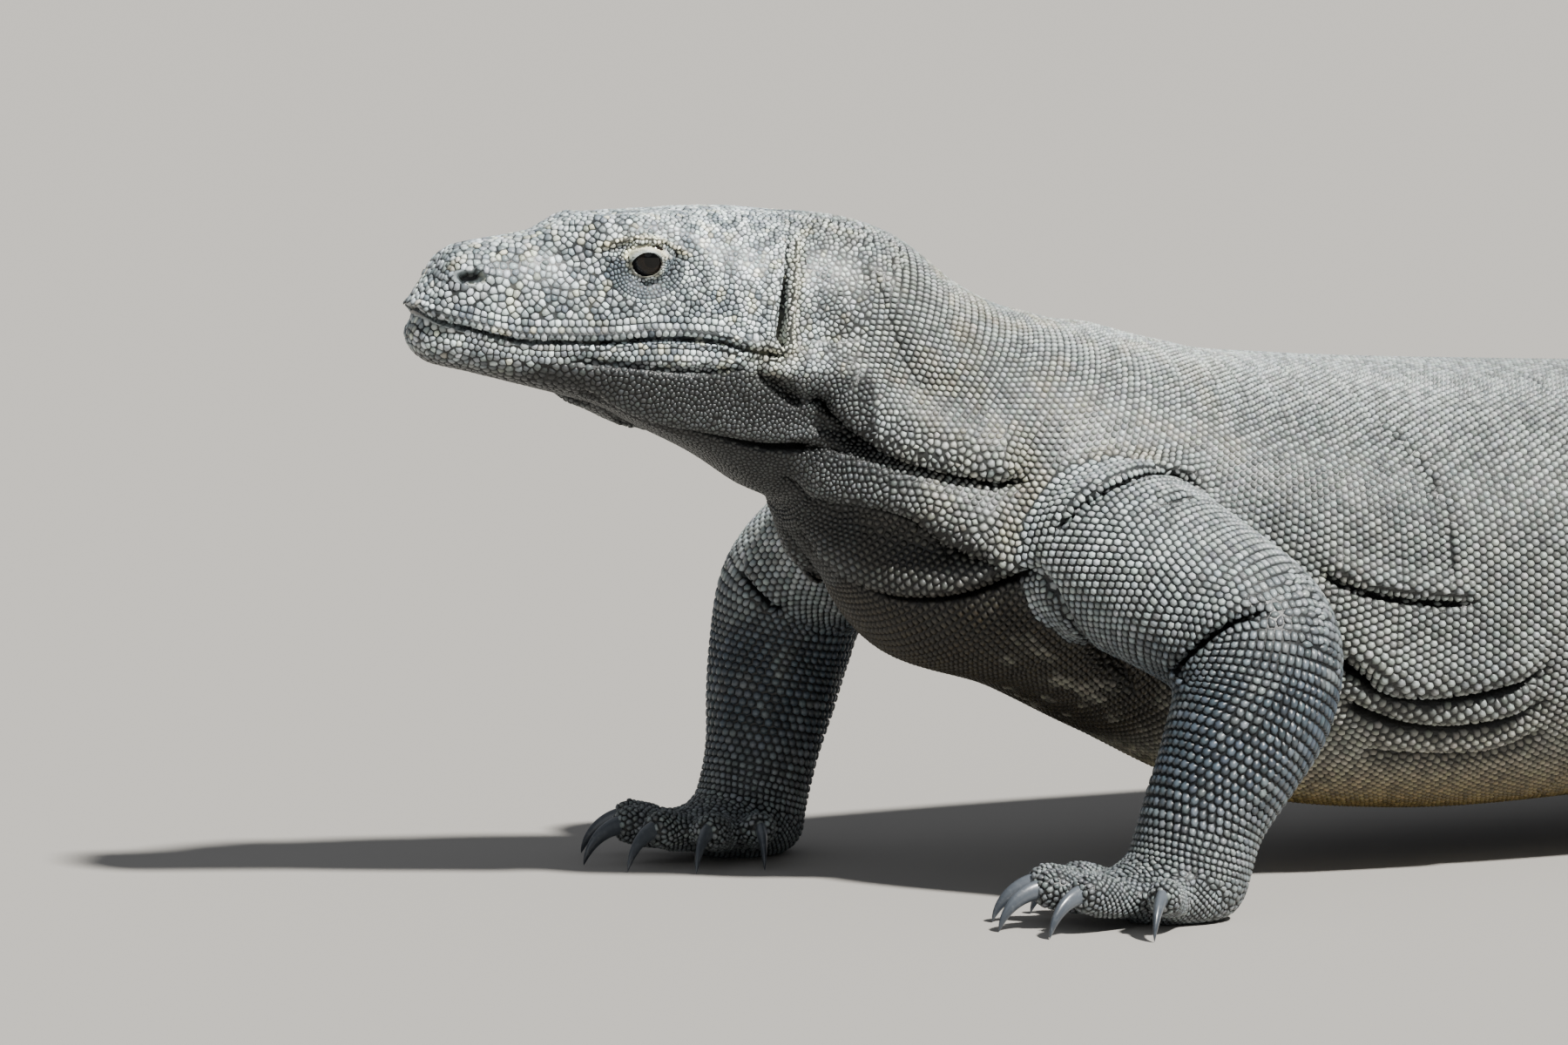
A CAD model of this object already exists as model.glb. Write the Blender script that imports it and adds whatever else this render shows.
"""A life-size komodo dragon: one skin, its scales, eyes and claws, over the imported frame.

The head, neck, trunk and tail follow one spine and each leg and toe follows a line of its own. The skin
is made from these forms, fused, and sculpted; the scales are laid over it in rows and fitted between
their neighbours, each one a small dome.
"""

import logging
from dataclasses import dataclass, field
from enum import Enum
from itertools import product
from math import cos, pi, radians, sin

import bmesh
import bpy
import numpy as np
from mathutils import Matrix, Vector
from mathutils.bvhtree import BVHTree
from mathutils.kdtree import KDTree


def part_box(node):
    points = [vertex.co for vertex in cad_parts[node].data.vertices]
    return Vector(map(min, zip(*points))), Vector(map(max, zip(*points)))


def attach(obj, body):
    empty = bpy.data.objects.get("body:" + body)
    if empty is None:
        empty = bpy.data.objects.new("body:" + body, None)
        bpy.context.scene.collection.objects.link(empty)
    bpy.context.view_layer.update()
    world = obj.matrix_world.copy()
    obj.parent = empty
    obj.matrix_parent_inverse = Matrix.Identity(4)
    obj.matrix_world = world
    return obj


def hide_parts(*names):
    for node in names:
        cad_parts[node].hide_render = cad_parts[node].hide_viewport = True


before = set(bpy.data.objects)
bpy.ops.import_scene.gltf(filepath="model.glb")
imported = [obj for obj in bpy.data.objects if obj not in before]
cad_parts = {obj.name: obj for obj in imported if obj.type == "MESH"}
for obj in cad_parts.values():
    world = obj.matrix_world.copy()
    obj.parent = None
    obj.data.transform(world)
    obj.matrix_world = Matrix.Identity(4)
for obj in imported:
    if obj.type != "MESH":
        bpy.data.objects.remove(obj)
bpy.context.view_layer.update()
log = logging.getLogger("komodo_dragon")

Array = np.ndarray
SEED = 7
LEG_CHARTS = 7                       # each leg is mapped as its tube, its palm and five toes


class Side(Enum):
    """A side of the animal, as the sign of its direction along Y."""

    LEFT = -1
    RIGHT = 1

    @property
    def label(self) -> str:
        """The side's word in the names of pieces."""
        return self.name.lower()


class Limb(Enum):
    """A pair of legs, by the word in the names of pieces."""

    FORE = "fore"
    HIND = "hind"


# ---------------------------------------------------------------- numbers along curves


def unit(vectors: Array) -> Array:
    """Return vectors scaled to length one."""
    return vectors / np.maximum(np.linalg.norm(vectors, axis=-1, keepdims=True), 1e-12)


def ramp(low: float, high: float, value: Array) -> Array:
    """Return a smooth step from 0 at low to 1 at high."""
    u = np.clip((value - low) / (high - low), 0.0, 1.0)
    return u * u * (3.0 - 2.0 * u)


def bell(value: Array, width: float) -> Array:
    """Return a smooth hill of height one that is e-fold down at the width."""
    return np.exp(-((value / width) ** 2))


class Noise:
    """Smooth value noise over space, the same each run."""

    def __init__(self, seed: int) -> None:
        """Draw the lattice of values."""
        self.table = np.random.default_rng(seed).random((32, 32, 32))

    def __call__(self, points: Array, size: float) -> Array:
        """Return noise from 0 to 1.

        Args:
            points: places in metres, one row each.
            size: distance between the lattice's values, in metres.

        Returns:
            One value for each point.
        """
        grid = points / size
        cell = np.floor(grid).astype(int)
        u = grid - cell
        u = u * u * (3.0 - 2.0 * u)
        total = np.zeros(len(points))
        for corner in range(8):
            step = np.array([corner & 1, corner >> 1 & 1, corner >> 2 & 1])
            weight = np.prod(np.where(step, u, 1.0 - u), axis=1)
            at = (cell + step) % 32
            total += weight * self.table[at[:, 0], at[:, 1], at[:, 2]]
        return total

    def rough(self, points: Array, size: float) -> Array:
        """Return three octaves of noise, 0 to 1."""
        return (4 * self(points, size) + 2 * self(points + 9.1, size / 2) + self(points + 5.3, size / 4)) / 7


class Curve:
    """A table read along a smooth curve; its first column is the running length."""

    def __init__(self, rows: Array) -> None:
        """Keep the table."""
        self.rows = np.asarray(rows, float)

    def __call__(self, at: Array) -> Array:
        """Return the columns after the first at each length."""
        keys, last = self.rows[:, 0], len(self.rows) - 1
        at = np.clip(np.asarray(at, float), keys[0], keys[-1])
        i = np.clip(np.searchsorted(keys, at, "right") - 1, 0, last - 1)
        before, after = np.maximum(i - 1, 0), np.minimum(i + 2, last)
        run = (keys[i + 1] - keys[i])[:, None]
        u = ((at - keys[i])[:, None]) / run
        start, end = self.rows[i, 1:], self.rows[i + 1, 1:]
        slope_in = (end - self.rows[before, 1:]) / (keys[i + 1] - keys[before])[:, None] * run
        slope_out = (self.rows[after, 1:] - start) / (keys[after] - keys[i])[:, None] * run
        return (
            start * (2 * u ** 3 - 3 * u ** 2 + 1)
            + slope_in * (u ** 3 - 2 * u ** 2 + u)
            + end * (3 * u ** 2 - 2 * u ** 3)
            + slope_out * (u ** 3 - u ** 2)
        )


def running(points: Array) -> Array:
    """Return how far along a line each of its points lies."""
    return np.concatenate([[0.0], np.cumsum(np.linalg.norm(np.diff(points, axis=0), axis=1))])


def along(points: list[tuple] | Array) -> Array:
    """Put the running length in front of rows that start with x, y and z."""
    rows = np.asarray(points, float)
    return np.column_stack([running(rows[:, :3]), rows])


def level(angle: float) -> Array:
    """Return the level direction at an angle in plan."""
    return np.array([cos(angle), sin(angle), 0.0])


def tree_of(points: Array) -> KDTree:
    """Return a search tree over points."""
    tree = KDTree(len(points))
    for i, point in enumerate(points):
        tree.insert(point, i)
    tree.balance()
    return tree


# ---------------------------------------------------------------- the forms under the skin


@dataclass
class Head:
    """The head's own axis, and its sections from the snout back.

    Places on it are a distance back from the snout, a side offset (the left side is negative) and a
    height above the floor.
    """

    tip: tuple[float, float] = (-0.229, 0.053)
    yaw: float = radians(12)
    length: float = 0.235
    rounding: float = 0.020
    eye: tuple[float, float, float] = (0.1245, 0.0345, 0.3485)
    eye_radius: float = 0.0115
    opening: tuple[float, float, float, float] = (0.1200, 0.3450, 0.0066, 0.0058)
    eye_out: float = 0.028           # nothing of an eye, nostril or ear lies nearer to the middle
    nose_out: float = 0.012
    ear_out: float = 0.03
    nostril: tuple[float, float] = (0.0268, 0.3395)
    nostril_long: float = 0.0072
    nostril_tall: float = 0.0032
    mouth: tuple = (
        (0.000, 0.3235), (0.005, 0.3190), (0.013, 0.3154), (0.026, 0.3119), (0.040, 0.3080), (0.054, 0.3050),
        (0.077, 0.3042), (0.100, 0.3044), (0.128, 0.3060), (0.160, 0.3035), (0.173, 0.2992), (0.192, 0.2965),
    )
    sections: tuple = (
        (0.000, 0.0270, 0.350, 0.324, 0.298, 2.2),
        (0.012, 0.0300, 0.354, 0.320, 0.292, 2.3),
        (0.035, 0.0330, 0.359, 0.317, 0.287, 2.5),
        (0.070, 0.0365, 0.366, 0.311, 0.278, 2.6),
        (0.092, 0.0395, 0.374, 0.308, 0.272, 2.7),
        (0.112, 0.0430, 0.376, 0.306, 0.266, 2.8),
        (0.134, 0.0465, 0.375, 0.303, 0.255, 2.8),
        (0.165, 0.0510, 0.375, 0.299, 0.240, 2.5),
        (0.196, 0.0560, 0.372, 0.295, 0.221, 2.3),
        (0.235, 0.0585, 0.366, 0.289, 0.203, 2.2),
    )
    shift: Array = field(default_factory=lambda: np.zeros(3))

    def axes(self) -> tuple[Array, Array]:
        """Return the directions to the rear and to the animal's right."""
        return np.array([cos(self.yaw), -sin(self.yaw), 0.0]), np.array([sin(self.yaw), cos(self.yaw), 0.0])

    def point(self, back: float, side: float, height: float) -> Array:
        """Return the place of a distance back, side offset and height."""
        rear, right = self.axes()
        return np.array([*self.tip, height]) + rear * back + right * side + self.shift

    def locate(self, points: Array) -> Array:
        """Return the distance back, side offset and height of each point."""
        rear, right = self.axes()
        away = points - self.shift - np.array([*self.tip, 0.0])
        return np.column_stack([away @ rear, away @ right, away[:, 2]])

    def mouth_line(self, back: Array) -> Array:
        """Return the height of the seam of the lips."""
        return Curve(np.array(self.mouth))(back)[:, 0]

    def nostril_share(self, back: Array, height: Array, below: float = 0.0032) -> Array:
        """Return how far places lie from the middle of the nostril, 1 at its edge.

        Args:
            back: distances back from the snout.
            height: heights above the floor.
            below: how low the edge reaches under the middle.
        """
        up = height - self.nostril[1]
        tall = np.where(up < 0, below, self.nostril_tall)
        return np.hypot((back - self.nostril[0]) / self.nostril_long, up / tall)

    @staticmethod
    def ear_line(height: Array) -> Array:
        """Return how far back the ear's slit lies at each height."""
        return np.interp(height, (0.300, 0.307, 0.323, 0.337, 0.350, 0.367),
                         (0.1915, 0.1904, 0.1927, 0.1951, 0.1979, 0.2062))

    @staticmethod
    def brow_line(long: Array) -> Array:
        """Return how high the brow's edge runs over the eye's middle."""
        return np.interp(long, (-0.026, -0.018, -0.008, 0.0, 0.010, 0.018, 0.024),
                         (0.0085, 0.0115, 0.0138, 0.0143, 0.0126, 0.0084, 0.0050))

    def eye_share(self, places: Array) -> Array:
        """Return how far places of the head lie from the middle of the eye's opening, 1 at its edge."""
        middle, level, long, tall = self.opening
        return np.hypot((places[:, 0] - middle) / long, (places[:, 2] - level) / tall)

    def find_in_frame(self) -> None:
        """Measure from the eyes how far the frame's origin lies from the drawing's."""
        corners = [np.array(corner, float) for side in ("left", "right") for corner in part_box(f"eye_{side}")]
        back, _, height = self.eye
        self.shift = np.mean(corners, axis=0) - self.point(back, 0.0, height)


class Form:
    """A closed tube along a line, with a section that changes along it."""

    def __init__(self, rows: Array, upright: bool, rounding: float = 0.0) -> None:
        """Keep the sections.

        Args:
            rows: running length, x, y, z, half width, height above, depth below and squareness.
            upright: whether the section's height stands towards +Z, as on the body.
            rounding: length of the rounded first end.
        """
        self.curve = Curve(rows)
        self.length = float(rows[-1, 0])
        self.upright = upright
        self.rounding = rounding

    def frames(self, at: Array) -> tuple[Array, Array, Array, Array]:
        """Return centres and the directions along, across and up at each length."""
        at = np.asarray(at, float)
        centre = self.curve(at)[:, :3]
        axis = unit(self.curve(at + 0.004)[:, :3] - self.curve(at - 0.004)[:, :3])
        if self.upright:
            across = -unit(np.cross(axis, [0.0, 0.0, 1.0]))
            up = -np.cross(across, axis)
        else:
            across = np.cross(axis, [1.0, 0.0, 0.0])
            weak = np.linalg.norm(across, axis=1) < 0.2
            across[weak] = (0.0, 1.0, 0.0)
            across = unit(across)
            up = unit(np.cross(across, axis))
        return centre, axis, across, up

    def surface(self, at: Array, angle: Array) -> Array:
        """Return surface points.

        Args:
            at: lengths along the form, m of them.
            angle: angles round it from the top, n of them or m rows of n.

        Returns:
            m by n points.
        """
        at = np.asarray(at, float)
        centre, _, across, up = self.frames(at)
        half, above, below, square = self.curve(at)[:, 3:7].T[:, :, None]
        angle = np.broadcast_to(angle, (len(at), np.shape(angle)[-1]))
        side, level = np.sin(angle), np.cos(angle)
        reach = half * np.sign(side) * np.abs(side) ** (2 / square)
        rise = np.where(level > 0, above, below) * np.sign(level) * np.abs(level) ** (2 / square)
        if self.rounding:
            u = np.clip(at / self.rounding, 0.0, 1.0)[:, None]
            grown = np.sqrt(np.maximum(1.0 - (1.0 - u) ** 2, 0.0))
            reach, rise = reach * grown, rise * grown
        points = centre[:, None] + across[:, None] * reach[..., None] + up[:, None] * rise[..., None]
        points[..., 2] = np.maximum(points[..., 2], 0.0)
        return points

    def even_angles(self, at: Array, counts: Array, offset: Array) -> tuple[Array, Array]:
        """Return angles spaced evenly by surface length, row by row, starting under the form.

        Args:
            at: length of each row.
            counts: number of places in each row.
            offset: shift of each row, as a fraction of one place.

        Returns:
            For each place its row and its angle.
        """
        fine = np.linspace(pi, 3 * pi, 241)
        ring = self.surface(at, fine)
        steps = np.linalg.norm(np.diff(ring, axis=1), axis=2)
        reach = np.concatenate([np.zeros((len(at), 1)), np.cumsum(steps, axis=1)], axis=1)
        rows = np.repeat(np.arange(len(at)), counts)
        angles = [np.interp((np.arange(count) + shift) / count * total[-1], total, fine)
                  for count, shift, total in zip(counts, offset, reach)]
        return rows, np.concatenate(angles)

    def girth(self, at: Array) -> Array:
        """Return the distance round the form at each length."""
        ring = self.surface(at, np.linspace(0, 2 * pi, 73))
        return np.linalg.norm(np.diff(ring, axis=1), axis=2).sum(axis=1)


@dataclass
class Body:
    """The spine from the snout to the tip of the tail."""

    head: Head
    tail_root: tuple[float, float] = (0.890, 0.000)
    tail_length: float = 1.32
    tail_root_height: float = 0.120
    tail_half_width: float = 0.082
    tail_half_height: float = 0.074
    tail_swing: float = radians(24)
    tail_landing: float = 0.30
    tail_sink: float = 0.0012
    trunk: tuple = (
        (0.032, 0.001, 0.272, 0.065, 0.071, 0.093, 2.1),
        (0.062, 0.000, 0.248, 0.074, 0.084, 0.098, 2.1),
        (0.100, 0.000, 0.219, 0.092, 0.104, 0.109, 2.1),
        (0.150, 0.000, 0.190, 0.112, 0.116, 0.094, 2.2),
        (0.200, 0.000, 0.172, 0.128, 0.120, 0.100, 2.2),
        (0.270, 0.000, 0.160, 0.142, 0.124, 0.121, 2.2),
        (0.360, 0.000, 0.157, 0.152, 0.121, 0.130, 2.2),
        (0.460, 0.000, 0.156, 0.156, 0.117, 0.128, 2.2),
        (0.560, 0.000, 0.153, 0.152, 0.115, 0.120, 2.2),
        (0.660, 0.000, 0.149, 0.140, 0.110, 0.109, 2.2),
        (0.750, 0.000, 0.144, 0.120, 0.102, 0.096, 2.1),
        (0.830, 0.000, 0.134, 0.100, 0.090, 0.082, 2.1),
    )

    def form(self) -> Form:
        """Return the whole body as one form."""
        points = []
        for back, half, crown, middle, jaw, square in self.head.sections:
            place = self.head.point(back, 0.0, middle)
            points.append((*place, half, crown - middle, middle - jaw, square))
        for x, y, z, *rest in self.trunk:
            points.append((*(np.array([x, y, z]) + self.head.shift), *rest))
        place, steps = np.array([*self.tail_root, 0.0]) + self.head.shift, 12
        for step in range(steps + 1):
            u = step / steps
            height = self.tail_half_height * ((1.0 - u) ** 1.15 + 0.035)
            half = self.tail_half_width * ((1.0 - u) ** 1.6 + 0.045)
            landed = max(1.0 - u / self.tail_landing, 0.0)
            lift = (self.tail_root_height - self.tail_half_height) * landed ** 1.6
            middle = height - self.tail_sink * min(u / self.tail_landing, 1.0) + lift
            points.append((place[0], place[1], middle, half, height, height, 2.0))
            swing = self.tail_swing * sin(1.6 * pi * u)
            place = place + level(swing) * self.tail_length / steps
        return Form(along(points), upright=True, rounding=self.head.rounding)


@dataclass
class Leg:
    """A leg: its tube from inside the trunk to the palm, and its toes."""

    limb: Limb
    side: Side
    sections: tuple
    palm: tuple[float, float, float]
    toes: tuple
    turn: float
    shift: Array
    toe_start: float = 0.012
    toe_shape: tuple = (
        (0.00, 0.0155, 1.25), (0.30, 0.0170, 1.12), (0.52, 0.0155, 0.96), (0.74, 0.0190, 1.06),
        (0.90, 0.0210, 0.98), (1.00, 0.0205, 0.72),
    )

    def form(self) -> Form:
        """Return the leg's tube."""
        rows = [(*(np.array(row[:3]) + self.shift), row[4], row[3], row[3], 2.0) for row in self.sections]
        return Form(along(rows), upright=False)

    def heading(self) -> float:
        """Return the angle in plan along which the foot points."""
        return pi - self.turn * self.side.value

    def palm_centre(self) -> Array:
        """Return the middle of the palm."""
        x, y = self.sections[-1][:2]
        return np.array([x, y, self.palm[2] * 0.72]) + self.shift * (1, 1, 0) + level(self.heading()) * 0.008

    def toe_line(self, index: int) -> tuple[Array, Array]:
        """Return the sections of one toe and the direction in which its claw leaves it."""
        turn, length, half = self.toes[index]
        ahead = level(self.heading() - radians(turn) * self.side.value)
        start = np.array([*self.sections[-1][:2], 0.0]) + self.shift * (1, 1, 0)
        rows = []
        for u, height, thick in self.toe_shape:
            place = start + ahead * (self.toe_start + length * u)
            place[2] = height
            rows.append((*place, half * thick * 0.95, half * thick, half * thick, 2.0))
        return along(rows), ahead

    def toe_form(self, index: int) -> Form:
        """Return one toe as a form."""
        return Form(self.toe_line(index)[0], upright=True)


def metres(rows: tuple) -> tuple:
    """Return a table of millimetres in metres."""
    return tuple(tuple(value / 1000 for value in row) for row in rows)


def make_legs(shift: Array) -> list[Leg]:
    """Return the four legs in their stance; each row is a centre, a half height and a half width."""
    fore_left = metres((
        (118, -55, 194, 50, 50), (126, -100, 184, 56, 50), (142, -143, 166, 54, 46), (158, -178, 143, 47, 43),
        (151, -188, 114, 45, 40), (134, -191, 83, 39, 35), (118, -191, 54, 34, 31), (108, -191, 24, 33, 34),
    ))
    fore_right = metres((
        (116, 55, 195, 50, 50), (110, 95, 190, 54, 50), (92, 136, 176, 50, 45), (76, 166, 150, 44, 41),
        (70, 174, 118, 41, 38), (64, 176, 85, 37, 34), (58, 176, 54, 32, 30), (50, 175, 24, 31, 33),
    ))
    hind_left = metres((
        (800, -40, 148, 62, 62), (776, -96, 146, 68, 62), (738, -158, 141, 62, 55), (706, -206, 131, 48, 46),
        (722, -226, 104, 46, 40), (756, -234, 77, 37, 34), (780, -237, 50, 30, 28), (772, -239, 22, 31, 29),
    ))
    hind_step = 0.085
    hind_right = tuple((x + hind_step, -y, *rest) for x, y, *rest in hind_left)
    fore_toes = (
        (-42, 0.056, 0.0100), (-20, 0.073, 0.0110), (0, 0.081, 0.0115),
        (20, 0.078, 0.0115), (50, 0.064, 0.0105),
    )
    hind_toes = (
        (-32, 0.064, 0.0100), (-14, 0.086, 0.0110), (2, 0.103, 0.0115),
        (18, 0.114, 0.0115), (52, 0.078, 0.0105),
    )
    fore_palm, hind_palm = (0.040, 0.034, 0.023), (0.048, 0.032, 0.021)
    return [
        Leg(Limb.FORE, Side.LEFT, fore_left, fore_palm, fore_toes, radians(-3), shift),
        Leg(Limb.FORE, Side.RIGHT, fore_right, fore_palm, fore_toes, radians(-24), shift),
        Leg(Limb.HIND, Side.LEFT, hind_left, hind_palm, hind_toes, radians(14), shift),
        Leg(Limb.HIND, Side.RIGHT, hind_right, hind_palm, hind_toes, radians(20), shift),
    ]


# ---------------------------------------------------------------- meshes


def new_piece(name: str, points: Array, faces: list | Array) -> bpy.types.Object:
    """Return a new object in the scene, smooth shaded.

    Args:
        name: the piece's name.
        points: its vertices.
        faces: its faces, as an array where they all have the same number of corners.

    Returns:
        The object, at the origin.
    """
    mesh = bpy.data.meshes.new(name)
    if isinstance(faces, np.ndarray):
        count, corners = faces.shape
        mesh.vertices.add(len(points))
        mesh.vertices.foreach_set("co", np.ascontiguousarray(points, np.float32).ravel())
        mesh.loops.add(count * corners)
        mesh.loops.foreach_set("vertex_index", faces.astype(np.int32).ravel())
        mesh.polygons.add(count)
        mesh.polygons.foreach_set("loop_start", np.arange(0, count * corners, corners, dtype=np.int32))
        mesh.update(calc_edges=True)
    else:
        mesh.from_pydata(points.tolist(), [], faces)
    mesh.polygons.foreach_set("use_smooth", np.ones(len(mesh.polygons), bool))
    piece = bpy.data.objects.new(name, mesh)
    bpy.context.scene.collection.objects.link(piece)
    return piece


def loft_faces(rings: int, around: int, first: int = 0) -> list:
    """Return the faces of a closed loft whose rings follow each other in the vertex list."""
    start = first + np.arange(rings - 1)[:, None] * around + np.arange(around)[None]
    turned = first + np.arange(rings - 1)[:, None] * around + (np.arange(around)[None] + 1) % around
    sides = np.stack([start, turned, turned + around, start + around], axis=-1).reshape(-1, 4)
    last = first + (rings - 1) * around
    caps = [tuple(range(first + around - 1, first - 1, -1)), tuple(range(last, last + around))]
    return [tuple(face) for face in sides.tolist()] + caps


def activate(piece: bpy.types.Object) -> None:
    """Select one object alone and make it the active one."""
    bpy.ops.object.select_all(action="DESELECT")
    piece.select_set(True)
    bpy.context.view_layer.objects.active = piece


def settle(piece: bpy.types.Object) -> None:
    """Apply all of an object's modifiers."""
    activate(piece)
    for modifier in list(piece.modifiers):
        bpy.ops.object.modifier_apply(modifier=modifier.name)


def smooth(piece: bpy.types.Object, iterations: int, group: str = "") -> None:
    """Smooth an object, or the vertices of one of its groups."""
    modifier = piece.modifiers.new("smooth", "SMOOTH")
    modifier.iterations = iterations
    modifier.factor = 0.5
    modifier.vertex_group = group
    settle(piece)


def surface_tree(piece: bpy.types.Object) -> BVHTree:
    """Return a search tree over an object's faces."""
    points, _ = vertices_of(piece)
    return BVHTree.FromPolygons(points.tolist(), [tuple(face.vertices) for face in piece.data.polygons])


def vertices_of(piece: bpy.types.Object) -> tuple[Array, Array]:
    """Return an object's vertices and their normals."""
    mesh = piece.data
    points, normals = np.empty(len(mesh.vertices) * 3), np.empty(len(mesh.vertices) * 3)
    mesh.vertices.foreach_get("co", points)
    mesh.vertex_normals.foreach_get("vector", normals)
    return points.reshape(-1, 3), normals.reshape(-1, 3)


def move_vertices(piece: bpy.types.Object, points: Array) -> None:
    """Put an object's vertices at new places."""
    piece.data.vertices.foreach_set("co", np.ascontiguousarray(points, np.float32).ravel())
    piece.data.update()


def dye(piece: bpy.types.Object, colours: Array, wear: Array) -> None:
    """Keep a colour and a rim value on each vertex, for the finishes to read."""
    tint = piece.data.attributes.new("tint", "FLOAT_COLOR", "POINT")
    opaque = np.column_stack([colours, np.ones(len(colours))])
    tint.data.foreach_set("color", opaque.astype(np.float32).ravel())
    rim = piece.data.attributes.new("rim", "FLOAT", "POINT")
    rim.data.foreach_set("value", wear.astype(np.float32))


# ---------------------------------------------------------------- charts


@dataclass
class Chart:
    """A form and its own rectangle of the unwrapped skin."""

    form: Form
    corner: tuple[float, float]
    size: tuple[float, float]
    start: float = 0.0

    def uv(self, share_along: Array, share_round: Array) -> Array:
        """Return map coordinates from the fractions along and round the form."""
        return np.column_stack([
            self.corner[0] + self.size[0] * np.clip(share_along, 0.0, 1.0),
            self.corner[1] + self.size[1] * share_round,
        ])

    def locate(self, points: Array) -> tuple[Array, Array, Array, Array]:
        """Return each point's length along the form, side offset, level and distance in section sizes."""
        form = self.form
        samples = np.linspace(0.0, form.length, max(int(form.length / 0.006), 12))
        centre, axis, across, up = form.frames(samples)
        tree = tree_of(centre)
        found = np.array([tree.find(point)[1] for point in points], int)
        away = points - centre[found]
        run = samples[found] + (away * axis[found]).sum(axis=1)
        side = (away * across[found]).sum(axis=1)
        level = (away * up[found]).sum(axis=1)
        half, above, below, _ = form.curve(samples)[found, 3:7].T
        tall = np.where(level > 0, above, below)
        beyond = np.maximum(np.maximum(-run, run - form.length), 0.0) / np.maximum(half, 0.01)
        ratio = np.hypot(np.hypot(side / half, level / tall), beyond)
        return run, side, level, ratio

    def shares(self, points: Array) -> tuple[Array, Array]:
        """Return the fractions along and round the form of each point."""
        run, side, level, _ = self.locate(points)
        turn = (np.arctan2(side, level) - self.start) % (2 * pi)
        return run / self.form.length, turn / (2 * pi)


def make_charts(body: Form, legs: list[Leg]) -> list[Chart]:
    """Return the charts of the body, the legs, the palms and the toes."""
    charts = [Chart(body, (0.01, 0.01), (0.96, 0.60), pi)]
    for i, leg in enumerate(legs):
        left_edge = 0.01 + 0.245 * i
        charts.append(Chart(leg.form(), (left_edge, 0.64), (0.22, 0.20), leg.side.value * pi / 2))
        charts.append(Chart(palm_form(leg), (left_edge, 0.86), (0.05, 0.12), pi))
        for toe in range(len(leg.toes)):
            charts.append(Chart(leg.toe_form(toe), (left_edge + 0.06 + 0.034 * toe, 0.86), (0.028, 0.12), pi))
    return charts


def palm_form(leg: Leg) -> Form:
    """Return the palm as a round-ended form along the foot."""
    long, wide, tall = leg.palm
    centre = leg.palm_centre()
    ahead = level(leg.heading())
    rows = []
    for u in np.sin(np.linspace(-pi / 2, pi / 2, 13)):
        size = max(np.sqrt(1.0 - u * u), 0.04)
        rows.append((*(centre + ahead * long * u), wide * size, tall * size, tall * size, 2.0))
    return Form(along(rows), upright=True)


# ---------------------------------------------------------------- the skin


@dataclass
class Crease:
    """A fold of the skin along a line, on both sides of the body unless one is turned off.

    The line gives x, the distance from the body's middle plane and the height, in millimetres. The lip
    stands on the upper side of a line drawn from front to rear, and on the rear side of one drawn
    downwards.
    """

    path: tuple
    depth: float
    width: float
    lip: float = 0.0
    hang: float = 0.0
    lip_width: float = 2.0
    left: bool = True
    right: bool = True
    full_depth: float = 0.009        # a crease or lip of this size is as dark or as light as any

    def shape(self, path: Array, folded: Array, on_left: Array) -> tuple[Array, Array, Array, Array]:
        """Return how the crease moves and darkens the skin.

        Args:
            path: the line as laid on the skin.
            folded: places as length along the body, distance from its middle plane, and height.
            on_left: which of them lie on the left side.

        Returns:
            Push outwards, push along the skin, the direction of that second push, and gloom.
        """
        best = np.full(len(folded), 1e9)
        share = np.zeros(len(folded))
        gap = np.zeros((len(folded), 3))
        side = np.ones(len(folded))
        runs = running(path)
        for i, (a, b) in enumerate(zip(path[:-1], path[1:])):
            step = b - a
            u = np.clip((folded - a) @ step / (step @ step), 0.0, 1.0)
            away = folded - (a + u[:, None] * step)
            size = np.linalg.norm(away, axis=1)
            near = size < best
            best[near] = size[near]
            gap[near] = away[near]
            share[near] = ((runs[i] + u * (runs[i + 1] - runs[i])) / runs[-1])[near]
            upper = np.cross(step, [0.0, 1.0, 0.0])
            side[near] = np.where(away @ upper > 0, 1.0, -1.0)[near]
        ends = np.clip(2.4 * np.sin(pi * np.clip(share, 0.0, 1.0)), 0.0, 1.0)
        ends = ends * ((on_left & self.left) | (~on_left & self.right))
        d = best * side
        groove = bell(d, self.width)
        ridge = bell(d - self.width * 1.6, self.width * self.lip_width) * (d > 0)
        outward = ends * (-self.depth * groove + self.lip * ridge)
        slide = -ends * self.hang * bell(d - self.width * 1.2, self.width * 1.4) * (d > -0.3 * self.width)
        strength = min(self.depth / self.full_depth, 1.0) * (1.0 if self.hang or self.lip else 0.5)
        gloom = ends * bell(d + 0.5 * self.width, 1.25 * self.width) * strength
        lit = bell(d - 2.2 * self.width, self.width * 1.1) * (d > 0)
        gloom -= ends * lit * min(self.lip / self.full_depth, 1.0)
        way = gap / np.maximum(best, 1e-9)[:, None] * np.where(d > 0, 1.0, -1.0)[:, None]
        return outward, slide, way, gloom


@dataclass
class Bump:
    """A soft rise or hollow of the head, on both sides."""

    back: float
    side: float
    height: float
    radius: float
    amount: float


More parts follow.
